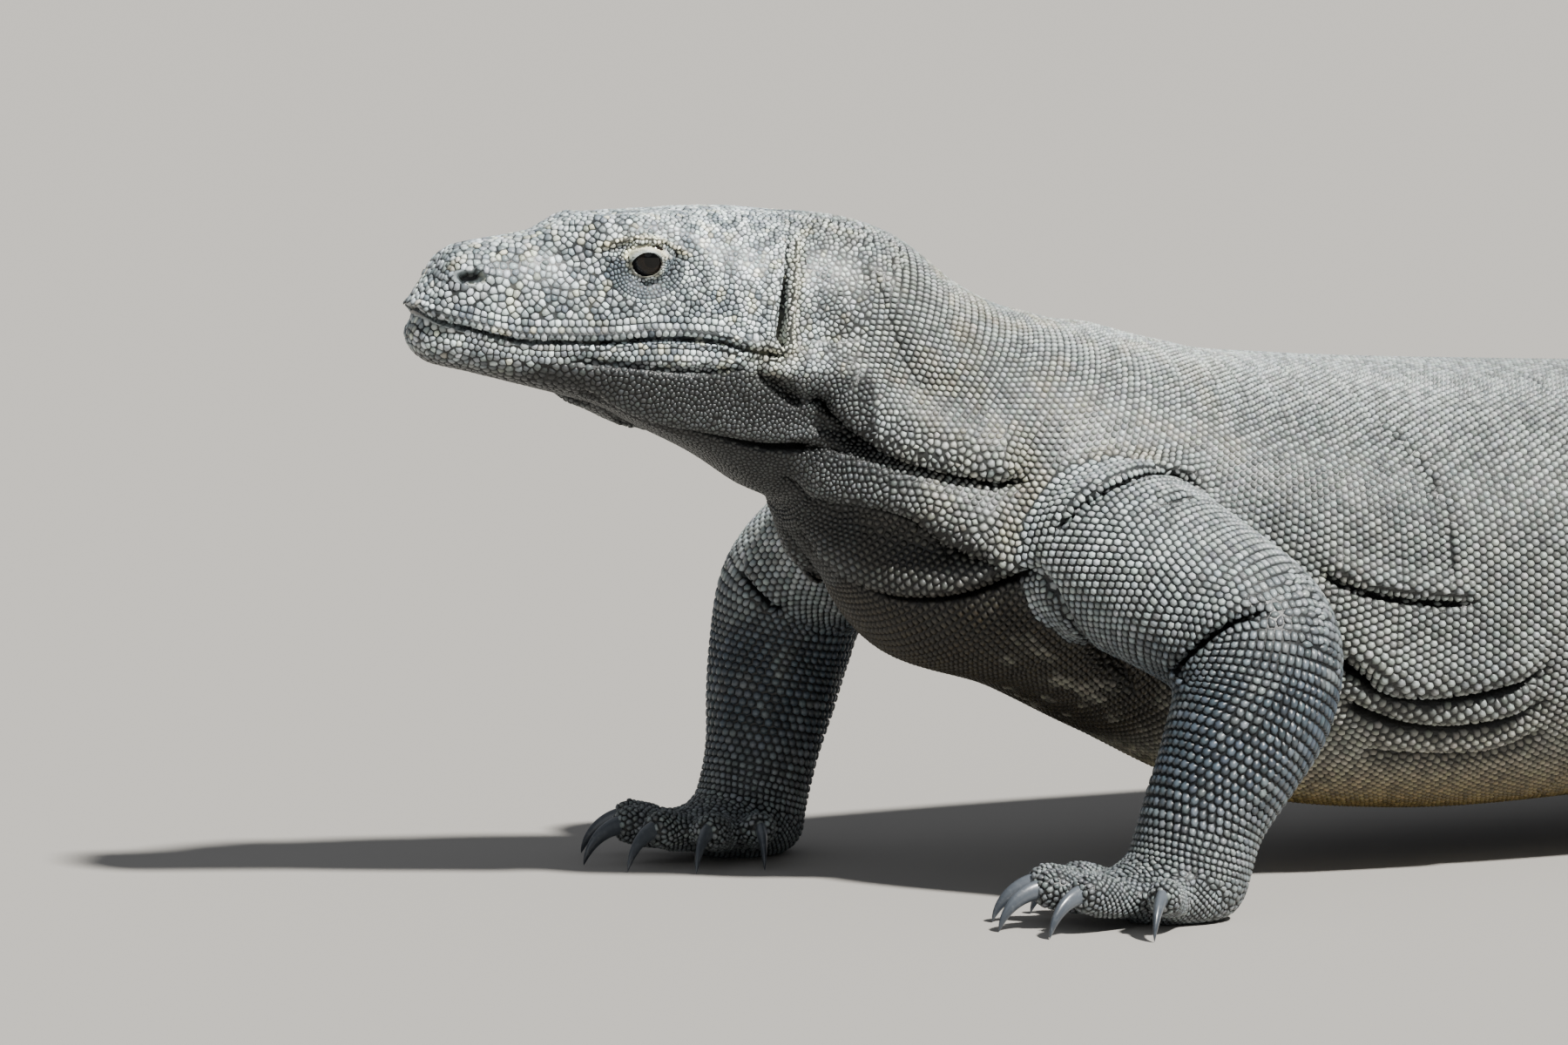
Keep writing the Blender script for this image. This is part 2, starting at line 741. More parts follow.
class Skin:
    """The one skin: the forms fused, softened at the joints of the legs, and sculpted."""

    depth = 0.0010                   # how far it lies under the solids that it replaces
    voxel = 0.0039
    ring_step = 0.003                # distance between a form's rings
    body_corners = 160               # corners of the body's rings, and of the others'
    limb_corners = 56
    first_rings = (0.0006, 0.0015, 0.003, 0.005)
    joint_reach = (0.055, 0.100)     # how far round a leg's joint the skin is softened
    joint_steps = 10
    fuse_smoothing = 7
    joint_smoothing = 26
    last_smoothing = 3
    head_end = 0.05                  # x behind which nothing of the head is sculpted
    bumps = (
        Bump(0.108, 0.040, 0.368, 0.018, 0.0050),
        Bump(0.135, 0.043, 0.369, 0.020, 0.0050),
        Bump(0.127, 0.047, 0.347, 0.017, -0.0050),
        Bump(0.085, 0.037, 0.344, 0.020, -0.0030),
        Bump(0.026, 0.030, 0.345, 0.014, 0.0030),
        Bump(0.170, 0.052, 0.334, 0.028, 0.0035),
        Bump(0.180, 0.054, 0.297, 0.022, 0.0035),
        Bump(0.120, 0.000, 0.377, 0.020, -0.0030),
        Bump(0.088, 0.020, 0.366, 0.015, 0.0042),
        Bump(0.105, 0.012, 0.373, 0.009, -0.0030),
    )
    creases = (
        # broad hollows under the cheek's roll and in the throat
        Crease(((-49, -40, 260), (-23, -46, 254), (8, -56, 242), (30, -64, 233),
                (48, -72, 228)), 0.0060, 0.0085),
        Crease(((-26, -26, 216), (-18, -30, 212), (10, -44, 200), (40, -64, 188),
                (58, -76, 179)), 0.0055, 0.0110),
        # the long fold under the neck's side, and the two below it on the throat
        Crease(((-40, -43, 270), (-31, -47, 275), (-21, -49, 267), (-5, -53, 254), (12, -60, 246),
                (30, -66, 240), (53, -74, 233), (78, -82, 228)), 0.0130, 0.0056, 0.0090, 0.0105, 2.8),
        Crease(((-68, -38, 290), (-49, -42, 276), (-39, -44, 270)), 0.0050, 0.0050, 0.0030, 0.0020, 2.4),
        Crease(((-150, 10, 277), (-120, 5, 265), (-88, -12, 255), (-61, -27, 248), (-28, -41, 248),
                (-14, -47, 244)), 0.0070, 0.0042, 0.0045, 0.0030, 2.6),
        Crease(((-42, -21, 229), (-30, -26, 225), (-2, -48, 218), (19, -59, 211), (33, -63, 199),
                (46, -71, 194), (62, -77, 183)), 0.0130, 0.0058, 0.0100, 0.0100, 2.8, right=False),
        Crease(((-2, 48, 218), (19, 59, 211), (33, 63, 199), (46, 71, 194),
                (62, 77, 183)), 0.0120, 0.0058, 0.0080, 0.0080, 2.8, left=False),
        # under the lower lip
        Crease(((-164, 4, 295), (-143, -6, 293), (-120, -15, 291), (-103, -21, 289), (-72, -37, 290),
                (-62, -40, 292)), 0.0030, 0.0032, 0.0018, 0.0012, 2.4),
        # the edge of the loose skin across the throat
        Crease(((-22, -6, 203), (-3, -13, 179), (13, -30, 168), (36, -57, 166), (58, -74, 174),
                (70, -99, 182)), 0.0085, 0.0046, 0.0055, 0.0060, 2.6),
        # before the upper arm
        Crease(((69, -94, 184), (76, -108, 166), (91, -107, 145), (120, -86, 130), (137, -79, 116),
                (150, -72, 104)), 0.0090, 0.0050, 0.0, 0.0),
        # over the shoulder
        Crease(((72, -105, 198), (78, -109, 206), (93, -115, 220), (114, -117, 229), (152, -105, 231),
                (165, -109, 225), (169, -115, 219)), 0.0070, 0.0032, 0.0036, 0.0040, 2.6),
        Crease(((116, -141, 218), (130, -141, 218), (147, -138, 221)), 0.0036, 0.0036, 0.0012, 0.0, 2.2),
        # down the neck behind the ear
        Crease(((3, -38, 344), (10, -54, 308), (22, -61, 275)), 0.0014, 0.0060, 0.0016, 0.0010, 2.4),
        # inside of the elbow
        Crease(((109, -166, 126), (110, -184, 142), (115, -194, 151), (122, -200, 158), (131, -206, 163),
                (145, -212, 166)), 0.0080, 0.0034, 0.0034, 0.0046, 2.4, right=False),
        Crease(((35, 158, 163), (50, 135, 140)), 0.0060, 0.0034, 0.003, 0.003, left=False),
        # flank, from the shoulder down, and the rolls behind the foreleg
        Crease(((227, -132, 178), (239, -135, 170), (262, -139, 162), (293, -144, 157),
                (325, -147, 155)), 0.0058, 0.0036, 0.0030, 0.0024, 2.6),
        Crease(((282, -91, 258), (295, -114, 240), (306, -132, 217), (307, -144, 184),
                (306, -145, 151)), 0.0018, 0.0022, 0.0006, 0.0, 2.2),
        Crease(((235, -130, 132), (260, -133, 119), (273, -133, 110), (299, -135, 105), (331, -139, 107),
                (373, -145, 117)), 0.0130, 0.0060, 0.0055, 0.0060, 2.4),
        Crease(((245, -126, 105), (282, -127, 90), (315, -129, 85), (346, -134, 87),
                (376, -142, 98)), 0.0080, 0.0056, 0.0044, 0.0040, 2.4),
        Crease(((270, -110, 70), (305, -118, 62), (350, -121, 64),
                (381, -134, 78)), 0.0060, 0.0060, 0.0036, 0.0030, 2.2),
    )

    def __init__(self, head: Head, body: Form, legs: list[Leg], charts: list[Chart]) -> None:
        """Make the skin."""
        self.head, self.body, self.legs, self.charts = head, body, legs, charts
        self.piece = self.fuse()
        self.soften()
        self.refine()
        self.sculpt()
        self.seat()
        self.tree = surface_tree(self.piece)

    def fuse(self) -> bpy.types.Object:
        """Join all the forms into one closed mesh."""
        points, faces = [], []
        for chart in self.charts:
            form = chart.form
            big = form is self.body
            count = max(int(form.length / self.ring_step), 24)
            rings = np.linspace(self.first_rings[0] if big else 0.0, form.length, count)
            if big:
                rings = np.concatenate([self.first_rings, rings[2:]])
            around = self.body_corners if big else self.limb_corners
            grid = form.surface(rings, np.linspace(0, 2 * pi, around, endpoint=False))
            faces += loft_faces(len(rings), around, sum(len(run) for run in points))
            points.append(grid.reshape(-1, 3))
        piece = new_piece("skin", np.concatenate(points), faces)
        remesh = piece.modifiers.new("one_skin", "REMESH")
        remesh.mode = "VOXEL"
        remesh.voxel_size = self.voxel
        smooth(piece, self.fuse_smoothing)
        log.info("skin: %d vertices fused", len(piece.data.vertices))
        return piece

    def soften(self) -> None:
        """Smooth the skin where the legs join the trunk, and press it flat on the floor."""
        points, _ = vertices_of(self.piece)
        weight = np.zeros(len(points))
        for leg in self.legs:
            joint = np.array(leg.sections[1][:3]) + leg.shift
            joint[1] += 0.010 * leg.side.value
            reach = np.linalg.norm(points - joint, axis=1)
            weight = np.maximum(weight, 1.0 - ramp(*self.joint_reach, reach))
        group = self.piece.vertex_groups.new(name="joints")
        for share in np.linspace(1 / self.joint_steps, 1.0, self.joint_steps):
            chosen = np.nonzero((weight > share - 1 / self.joint_steps) & (weight <= share))[0]
            group.add(chosen.tolist(), float(share), "REPLACE")
        smooth(self.piece, self.joint_smoothing, "joints")
        points, _ = vertices_of(self.piece)
        points[:, 2] = np.maximum(points[:, 2], 0.0)
        move_vertices(self.piece, points)

    def refine(self) -> None:
        """Divide the mesh more finely on the head, the neck and the forelegs."""
        for step in range(2):
            points, _ = vertices_of(self.piece)
            places = self.head.locate(points)
            back, side, height = places.T
            if step == 0:
                drawn = points - self.head.shift
                wanted = (drawn[:, 0] < 0.36) & ~((drawn[:, 0] > 0.20) & (drawn[:, 2] > 0.20))
            else:
                line = self.head.mouth_line(back)
                mouth = (back < 0.205) & (np.abs(height - line) < 0.007)
                eye = (np.hypot(back - 0.1225, height - 0.3465) < 0.021) & (np.abs(side) > 0.026)
                nose = np.hypot(back - 0.0265, height - 0.3395) < 0.014
                nose &= np.abs(side) > self.head.nose_out
                ear = (np.abs(back - 0.194) < 0.014) & (height > 0.292) & (height < 0.362)
                wanted = mouth | eye | nose | ear
            mesh = bmesh.new()
            mesh.from_mesh(self.piece.data)
            mesh.verts.ensure_lookup_table()
            edges = [edge for edge in mesh.edges if all(wanted[end.index] for end in edge.verts)]
            bmesh.ops.subdivide_edges(mesh, edges=edges, cuts=1, use_grid_fill=True)
            mesh.to_mesh(self.piece.data)
            mesh.free()
        smooth(self.piece, self.last_smoothing)
        log.info("skin: %d vertices refined", len(self.piece.data.vertices))

    def sculpt(self) -> None:
        """Shape the head, the mouth, the lids, the nostrils and the ears, then press in the creases."""
        points, normals = vertices_of(self.piece)
        near = points[:, 0] < self.head.shift[0] + self.head_end
        push = np.zeros(len(points))
        places = self.head.locate(points[near])
        for bump in self.bumps:
            spot = np.array([bump.back, bump.side, bump.height])
            mirrored = np.column_stack([places[:, 0], np.abs(places[:, 1]), places[:, 2]])
            reach = np.linalg.norm(mirrored - spot, axis=1)
            push[near] += bump.amount * np.maximum(1.0 - (reach / (1.6 * bump.radius)) ** 2, 0.0) ** 2
        move_vertices(self.piece, points + normals * push[:, None])
        self.press_creases()
        points, normals = vertices_of(self.piece)
        push = np.zeros(len(points))
        places = self.head.locate(points[near])
        push[near] = self.mouth_push(places) + self.nose_push(places) + self.ear_push(places)
        points = points + normals * push[:, None]
        points[near] = self.lids(points[near])
        move_vertices(self.piece, points)

    def fold_coordinates(self, points: Array) -> tuple[Array, Array]:
        """Return places as x, distance from the middle plane and height, and which lie on the left."""
        drawn = points - self.head.shift
        off = points[:, 1] - self.middle_line(points[:, 0])
        return np.column_stack([drawn[:, 0], np.abs(off), drawn[:, 2]]), off < 0

    def middle_line(self, x: Array) -> Array:
        """Return the spine's side offset at each x."""
        samples = np.linspace(0, self.body.length, 400)
        centre = self.body.curve(samples)[:, :3]
        return np.interp(x, centre[:, 0], centre[:, 1])

    def press_creases(self) -> None:
        """Press the creases into the skin one after the other."""
        tree = surface_tree(self.piece)
        self.gloom = np.zeros(len(self.piece.data.vertices))
        for crease in self.creases:
            points, normals = vertices_of(self.piece)
            path = self.lay(crease, tree)
            folded, on_left = self.fold_coordinates(points)
            close = ((folded > path.min(axis=0) - 0.03) & (folded < path.max(axis=0) + 0.03)).all(axis=1)
            outward, slide, way, gloom = crease.shape(path, folded[close], on_left[close])
            stronger = np.abs(gloom) > np.abs(self.gloom[close])
            self.gloom[close] = np.where(stronger, gloom, self.gloom[close])
            way[:, 1] *= np.where(on_left[close], -1.0, 1.0)
            points[close] += normals[close] * outward[:, None] + way * slide[:, None]
            move_vertices(self.piece, points)

    def lay(self, crease: Crease, tree: BVHTree) -> Array:
        """Return a crease's line, rounded and laid on the skin."""
        path = np.array(crease.path) / 1000
        runs = running(path)
        fine = Curve(np.column_stack([runs, path]))(np.linspace(0.0, runs[-1], max(int(runs[-1] / 0.004), 6)))
        world = fine + self.head.shift
        spots = np.array([tuple(tree.find_nearest(point)[0]) for point in world])
        for _ in range(2):
            spots[1:-1] = 0.5 * spots[1:-1] + 0.25 * (spots[:-2] + spots[2:])
        spots[:, 1] = np.abs(spots[:, 1] - self.middle_line(spots[:, 0])) + self.head.shift[1]
        return spots - self.head.shift

    def mouth_push(self, places: Array) -> Array:
        """Return the push that parts the lips."""
        back, _, height = places.T
        d = height - self.head.mouth_line(back)
        inside = (1.0 - ramp(0.186, 0.202, back))
        groove = -0.0050 * bell(d + 0.0003, 0.0013) * (0.4 + 0.6 * ramp(0.0, 0.014, back))
        upper = 0.0013 * bell(d - 0.0034, 0.0030) * (d > 0)
        set_back = 0.0016 + 0.0022 * (1.0 - ramp(0.0, 0.03, back))
        lower = -set_back * bell(d + 0.0060, 0.0060) * (d < 0) * (1.0 - ramp(0.10, 0.17, back))
        roll = 0.0012 * bell(d + 0.0042, 0.0022) * ramp(0.10, 0.14, back)
        corner = -0.0026 * bell(d + 0.0060 - 0.03 * np.maximum(back - 0.150, 0), 0.0024) * ramp(
            0.140, 0.165, back) * (1.0 - ramp(0.186, 0.205, back))
        return (groove + upper + lower + roll) * inside + corner

    def nose_push(self, places: Array) -> Array:
        """Return the push that opens the nostrils."""
        back, side, height = places.T
        long = (back - self.head.nostril[0]) / self.head.nostril_long
        rise = 0.06 * (back - self.head.nostril[0])
        tall = (height - self.head.nostril[1] - rise) / (0.0030 + 0.0006 * long)
        e = np.hypot(long, tall)
        out = np.abs(side) > 0.015
        return out * (-0.0065 * (1.0 - ramp(0.75, 1.15, e)) + 0.0010 * bell(e - 1.5, 0.35))

    def ear_push(self, places: Array) -> Array:
        """Return the push that opens the ears."""
        back, side, height = places.T
        line = self.head.ear_line(height)
        open_part = ramp(0.300, 0.306, height) * (1.0 - ramp(0.326, 0.340, height))
        crease = ramp(0.296, 0.304, height) * (1.0 - ramp(0.350, 0.366, height))
        width = np.interp(height, (0.300, 0.306, 0.340), (0.0012, 0.0021, 0.0008))
        out = np.abs(side) > self.head.ear_out
        pit = -(0.0024 * crease + 0.0085 * open_part) * np.exp(-(((back - line) / width) ** 4))
        folds = 0.0022 * crease * bell(back - line - 0.0048, 0.0020) + 0.0016 * crease * bell(
            back - line + 0.0052, 0.0036) - 0.0012 * crease * bell(back - line - 0.0088, 0.0016)
        return out * (pit + folds)

    def lids(self, points: Array) -> Array:
        """Return the points with the lids drawn over the eyes and the sockets opened."""
        places = self.head.locate(points)
        back, side, height = places.T
        eye_back, eye_side, eye_height = self.head.eye
        long, tall = back - self.head.opening[0], height - self.head.opening[1]
        e = self.head.eye_share(places)
        out = np.abs(side) > self.head.eye_out
        sign = np.sign(side)
        radius = self.head.eye_radius
        spread = np.hypot(back - eye_back, height - eye_height)
        upper = ramp(0.0, 0.8, tall / self.head.opening[3])
        rim = (0.0006 + 0.0010 * upper) * bell(e - 1.18, 0.20)
        above = upper * ramp(1.2, 1.5, e) * (1.0 - ramp(2.4, 3.0, e))
        rings = 0.0006 * above * np.cos((e - 1.18) * 2 * pi / 0.46)
        cover = radius + 0.0017 + rim
        dome = np.where(spread < cover, eye_side + np.sqrt(np.maximum(cover ** 2 - spread ** 2, 0.0)), 0.0)
        sunk = radius - 0.0040 * (1.0 - ramp(0.80, 1.0, e)) - 0.0004
        pit = eye_side + np.sqrt(np.maximum(sunk ** 2 - spread ** 2, 0.0))
        flat = np.abs(side)
        lid = np.maximum(flat, dome) + 0.0010 * bell(flat - dome, 0.0016) + rings
        out_to = np.where(e < 1.0, pit, lid)
        moved = np.column_stack([back, np.where(e < 5.0, out_to, flat), height])
        edge = tall - self.head.brow_line(long)
        ridge = 0.0028 * bell(edge, 0.0024) - 0.0012 * bell(edge + 0.0040, 0.0012)
        moved[:, 1] += out * (1.0 - ramp(0.018, 0.027, np.abs(long))) * ridge
        rear, right = self.head.axes()
        base = np.array([*self.head.tip, 0.0]) + self.head.shift
        result = base + moved[:, :1] * rear + (moved[:, 1] * sign)[:, None] * right
        result[:, 2] = moved[:, 2] + self.head.shift[2]
        use = out & (e < 5.0)
        return np.where(use[:, None], result, points)

    def dress(self, coat: "Coat", markings: "Markings", hide: bpy.types.Material) -> None:
        """Colour and unwrap the skin, darker where scales cover it, and fix it to the frame."""
        points, _ = vertices_of(self.piece)
        bare = coat.bare(points)
        colours = markings(points, (coat.owner > 0).astype(float), self.gloom)
        dye(self.piece, colours * np.where(bare, 1.0, 0.55)[:, None], np.where(bare, 0.8, 0.15))
        unwrap_skin(self, coat)
        paint(self.piece, hide)
        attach(self.piece, "root")
        flesh = [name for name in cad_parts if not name.startswith(("eye_", "claw_"))]
        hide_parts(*flesh)
        log.info("skin: dressed, for %d nodes", len(flesh))

    def seat(self) -> None:
        """Draw the whole skin in by the coat's depth."""
        points, normals = vertices_of(self.piece)
        points -= normals * self.depth
        points[:, 2] = np.maximum(points[:, 2], 0.0)
        move_vertices(self.piece, points)


# ---------------------------------------------------------------- colours


def mix(base: Array, other: Array, share: Array) -> Array:
    """Return colours moved towards others, each by its own share."""
    return base + (other - base) * np.clip(share, 0.0, 1.0)[:, None]


class Spots:
    """Places on the skin as the markings see them."""

    def __init__(self, points: Array, head: Head) -> None:
        """Measure the places and draw the noises over them."""
        coarse, fine, self.speck = Noise(SEED), Noise(SEED + 1), Noise(SEED + 2)
        self.points = points
        self.places = head.locate(points)
        self.back, self.side, self.height = self.places.T
        self.x, self.z = (points - head.shift)[:, 0], (points - head.shift)[:, 2]
        self.patch = coarse.rough(points, 0.045)
        self.mottle = fine.rough(points, 0.014)
        self.grain = self.speck(points, 0.0045)
        self.head = (1.0 - ramp(0.175, 0.290, self.back + 0.02 * (self.patch - 0.5))) * (self.x < 0.1)
        self.tone = np.clip(0.5 + 1.3 * (self.patch - 0.5) + 0.9 * (self.mottle - 0.5), 0, 1)


class Markings:
    """The animal's colours, for the skin and for each scale."""

    slate = np.array([0.050, 0.062, 0.075])
    pale = np.array([0.420, 0.440, 0.440])
    grey = np.array([0.150, 0.158, 0.155])
    dusty = np.array([0.240, 0.238, 0.218])
    cream = np.array([0.760, 0.690, 0.480])
    tan = np.array([0.260, 0.225, 0.160])
    ochre = np.array([0.125, 0.087, 0.034])
    dark = np.array([0.020, 0.021, 0.021])
    limb = np.array([0.044, 0.056, 0.070])
    dusty_foot = np.array([0.220, 0.225, 0.220])
    cast = np.array([0.975, 1.040, 1.055])

    # outlines of the dark underside: places along the body or back from the snout, and heights
    throat_edge = ((-0.22, -0.10, -0.06, -0.03, 0.0, 0.03), (0.296, 0.286, 0.276, 0.262, 0.248, 0.236))
    pouch_edge = (
        (-0.10, -0.058, -0.028, -0.002, 0.036, 0.062, 0.08),
        (0.250, 0.238, 0.2233, 0.2142, 0.2047, 0.181, 0.170),
    )
    jaw_edge = (
        (0.0, 0.0133, 0.040, 0.0525, 0.066, 0.0728, 0.0968, 0.1185, 0.1369, 0.172, 0.21),
        (0.304, 0.297, 0.291, 0.289, 0.293, 0.2955, 0.2940, 0.2925, 0.2908, 0.2908, 0.288),
    )
    brightness = ((-0.20, -0.05, 0.02, 0.15, 0.30, 0.45), (1.30, 1.30, 1.50, 1.50, 1.35, 1.00))

    def __init__(self, head: Head) -> None:
        """Keep the head, from which the places are measured."""
        self.head = head

    def __call__(self, points: Array, limb: Array, gloom: Array) -> Array:
        """Return a colour for each point.

        Args:
            points: places on the skin.
            limb: how far each place belongs to a leg or foot, 0 to 1.
            gloom: how deep each place lies in a fold, 0 to 1, or on its lip, below 0.

        Returns:
            Linear colours.
        """
        spots = Spots(points, self.head)
        colour = mix(self.trunk(spots), self.face(spots), spots.head)
        colour = self.underside(colour, spots)
        colour = self.lips(colour, spots)
        colour = self.eyes(colour, spots)
        colour = self.nostrils_and_ears(colour, spots)
        colour = colour * np.interp(spots.x, *self.brightness)[:, None]
        colour = mix(colour, self.leg(spots), limb)
        foot = limb * (1.0 - ramp(0.030, 0.080, spots.z))
        colour = mix(colour, self.dusty_foot, foot * (0.45 + 0.25 * spots.mottle))
        colour = mix(colour, self.pale * 0.8, -0.20 * gloom)
        return mix(colour, self.dark * 0.5, 0.90 * gloom) * self.cast

    def trunk(self, spots: Spots) -> Array:
        """Return the neck's, the trunk's and the tail's colours: grey above and ochre below."""
        x, z = spots.x, spots.z
        colour = mix(np.tile(self.grey, (len(x), 1)), self.dusty, 0.9 * spots.tone)
        colour = mix(colour, self.pale, 0.40 * ramp(0.20, 0.34, z + 0.06 * spots.patch) * ramp(0.0, 0.2, x))
        colour = mix(colour, self.tan, 0.55 * ramp(0.45, 0.75, spots.mottle) * (1 - ramp(0.10, 0.30, x)))
        trunk = 1.0 - ramp(1.10, 1.30, x)
        low = trunk * (1.0 - ramp(0.045, 0.115, z))
        colour = mix(colour, self.tan * 0.75, 0.8 * low * ramp(0.1, 0.2, x))
        colour = mix(colour, self.ochre, trunk * ramp(0.12, 0.2, x) * (1.0 - ramp(0.035, 0.075, z)))
        return mix(colour, self.slate * 1.6, (1.0 - trunk) * (0.35 + 0.30 * spots.patch))

    def face(self, spots: Spots) -> Array:
        """Return the head's colours: pale scales among slate and a few cream ones."""
        light = 0.15 * spots.mottle + 0.10 * spots.patch + 0.75 * spots.grain
        blue, warm = spots.speck(spots.points + 1.7, 0.006), spots.speck(spots.points + 3.3, 0.005)
        face = np.tile(self.grey * 0.85 + self.slate, (len(light), 1))
        face = mix(face, self.pale * 1.25, 0.85 * ramp(0.26, 0.66, light))
        face = mix(face, self.slate * 1.2, 0.62 * ramp(0.50, 0.74, blue))
        face = mix(face, self.cream * 0.9, 0.40 * ramp(0.66, 0.85, warm))
        return face * (1.0 + 0.35 * bell(spots.back - 0.165, 0.035))[:, None]

    def underside(self, colour: Array, spots: Spots) -> Array:
        """Return the colours with the throat, the pouch, the chest and the jaw darkened."""
        x, z = spots.x, spots.z
        throat = (1.0 - ramp(-0.010, 0.008, z - np.interp(x, *self.throat_edge))) * (1 - ramp(0.0, 0.04, x))
        colour = mix(colour, self.dark * 1.2, 0.95 * throat)
        pouch = (1.0 - ramp(-0.006, 0.002, z - np.interp(x, *self.pouch_edge))) * (1 - ramp(0.060, 0.10, x))
        colour = mix(colour, self.dark * 0.6 + self.ochre * 0.06, 0.96 * pouch)
        chest = (1.0 - ramp(0.150, 0.182, z)) * (1.0 - ramp(0.16, 0.22, x)) * ramp(0.0, 0.06, x + 0.06)
        colour = mix(colour, self.ochre * 0.10, 0.985 * chest * (1 - 0.5 * ramp(0.55, 0.8, spots.mottle)))
        below = spots.height - np.interp(spots.back, *self.jaw_edge)
        return mix(colour, self.dark * 1.1, 0.965 * (spots.back < 0.24) * (1.0 - ramp(-0.006, 0.003, below)))

    def lips(self, colour: Array, spots: Spots) -> Array:
        """Return the colours with the wet edge of the lower lip and the dark seam of the mouth."""
        back = spots.back
        over = spots.height - self.head.mouth_line(back)
        wet = spots.head * bell(over + 0.0034, 0.0026) * (1 - ramp(0.070, 0.10, back))
        colour = mix(colour, self.pale * 0.8, 0.7 * wet)
        seam = spots.head * bell(over + 0.0003, 0.0013) * (1 - ramp(0.185, 0.2, back))
        return mix(colour, self.dark * 0.5, seam)

    def eyes(self, colour: Array, spots: Spots) -> Array:
        """Return the colours with the cream brows and upper lids, the tan lower lids and the blue rings."""
        long, tall = spots.back - self.head.opening[0], spots.height - self.head.opening[1]
        out = self.head.eye_share(spots.places)
        crest = tall - self.head.brow_line(long)
        arch = (1.0 - ramp(0.020, 0.028, np.abs(long))) * bell(crest + 0.0004, 0.0017)
        lid = (tall > 0.002) * (1.0 - ramp(0.010, 0.020, np.abs(long))) * bell(out - 1.62, 0.30)
        cream = spots.head * (np.abs(spots.side) > self.head.eye_out) * np.maximum(arch, lid)
        colour = mix(colour, self.cream, cream * (0.55 + 0.45 * ramp(0.3, 0.6, spots.grain)))
        colour = mix(colour, self.tan * 0.9, spots.head * 0.8 * bell(out - 1.16, 0.14) * (tall < 0.002))
        dish = spots.head * ramp(1.40, 1.65, out) * (1.0 - ramp(3.0, 3.6, out)) * (tall < 0.003)
        return mix(colour, self.slate * 1.2, 0.8 * dish)

    def nostrils_and_ears(self, colour: Array, spots: Spots) -> Array:
        """Return the colours with dark nostrils and ears, and cream behind the ear and the mouth."""
        back, height = spots.back, spots.height
        nostril = self.head.nostril_share(back, height)
        colour = mix(colour, self.dark * 0.35, spots.head * (1.0 - ramp(0.75, 1.15, nostril)))
        slit = back - self.head.ear_line(height)
        gape = np.interp(height, (0.300, 0.306, 0.340), (0.0010, 0.0024, 0.0010))
        ear = np.exp(-((slit / gape) ** 4)) * ramp(0.298, 0.303, height) * (1 - ramp(0.336, 0.350, height))
        colour = mix(colour, self.dark * 0.3, ear * (np.abs(spots.side) > self.head.ear_out))
        behind = bell(slit - 0.0062, 0.0040) * ramp(0.288, 0.300, height) * (1 - ramp(0.352, 0.366, height))
        colour = mix(colour, self.cream * 0.75, 0.55 * behind)
        return mix(colour, self.cream * 0.7, 0.55 * bell(back - 0.186, 0.012) * bell(height - 0.296, 0.008))

    def leg(self, spots: Spots) -> Array:
        """Return the legs' colours: dark slate below, and the paler upper arm."""
        leg = np.tile(self.limb, (len(spots.x), 1))
        leg = mix(leg, self.grey * 1.1, 0.6 * ramp(0.45, 0.80, spots.mottle))
        arm = mix(np.tile(self.grey, (len(spots.x), 1)), self.pale * 0.95, 0.45 + 0.30 * spots.tone)
        arm = mix(arm, self.slate, 0.25 * ramp(0.5, 0.8, spots.grain))
        arm = arm * (1.42 - 0.54 * ramp(0.07, 0.17, spots.x))[:, None]
        return mix(leg, arm, ramp(0.115, 0.195, spots.z))


# ---------------------------------------------------------------- the scales


@dataclass
class Seeds:
    """Roots of scales: where they grow, how they lie and how big they are."""

    points: Array
    lies: Array
    pitch: Array
    chart: Array

    def keep(self, mask: Array) -> "Seeds":
        """Return only some of them."""
        return Seeds(self.points[mask], self.lies[mask], self.pitch[mask], self.chart[mask])

    @staticmethod
    def join(groups: list["Seeds"]) -> "Seeds":
        """Return several groups as one."""
        return Seeds(*(np.concatenate([getattr(group, name) for group in groups])
                       for name in ("points", "lies", "pitch", "chart")))


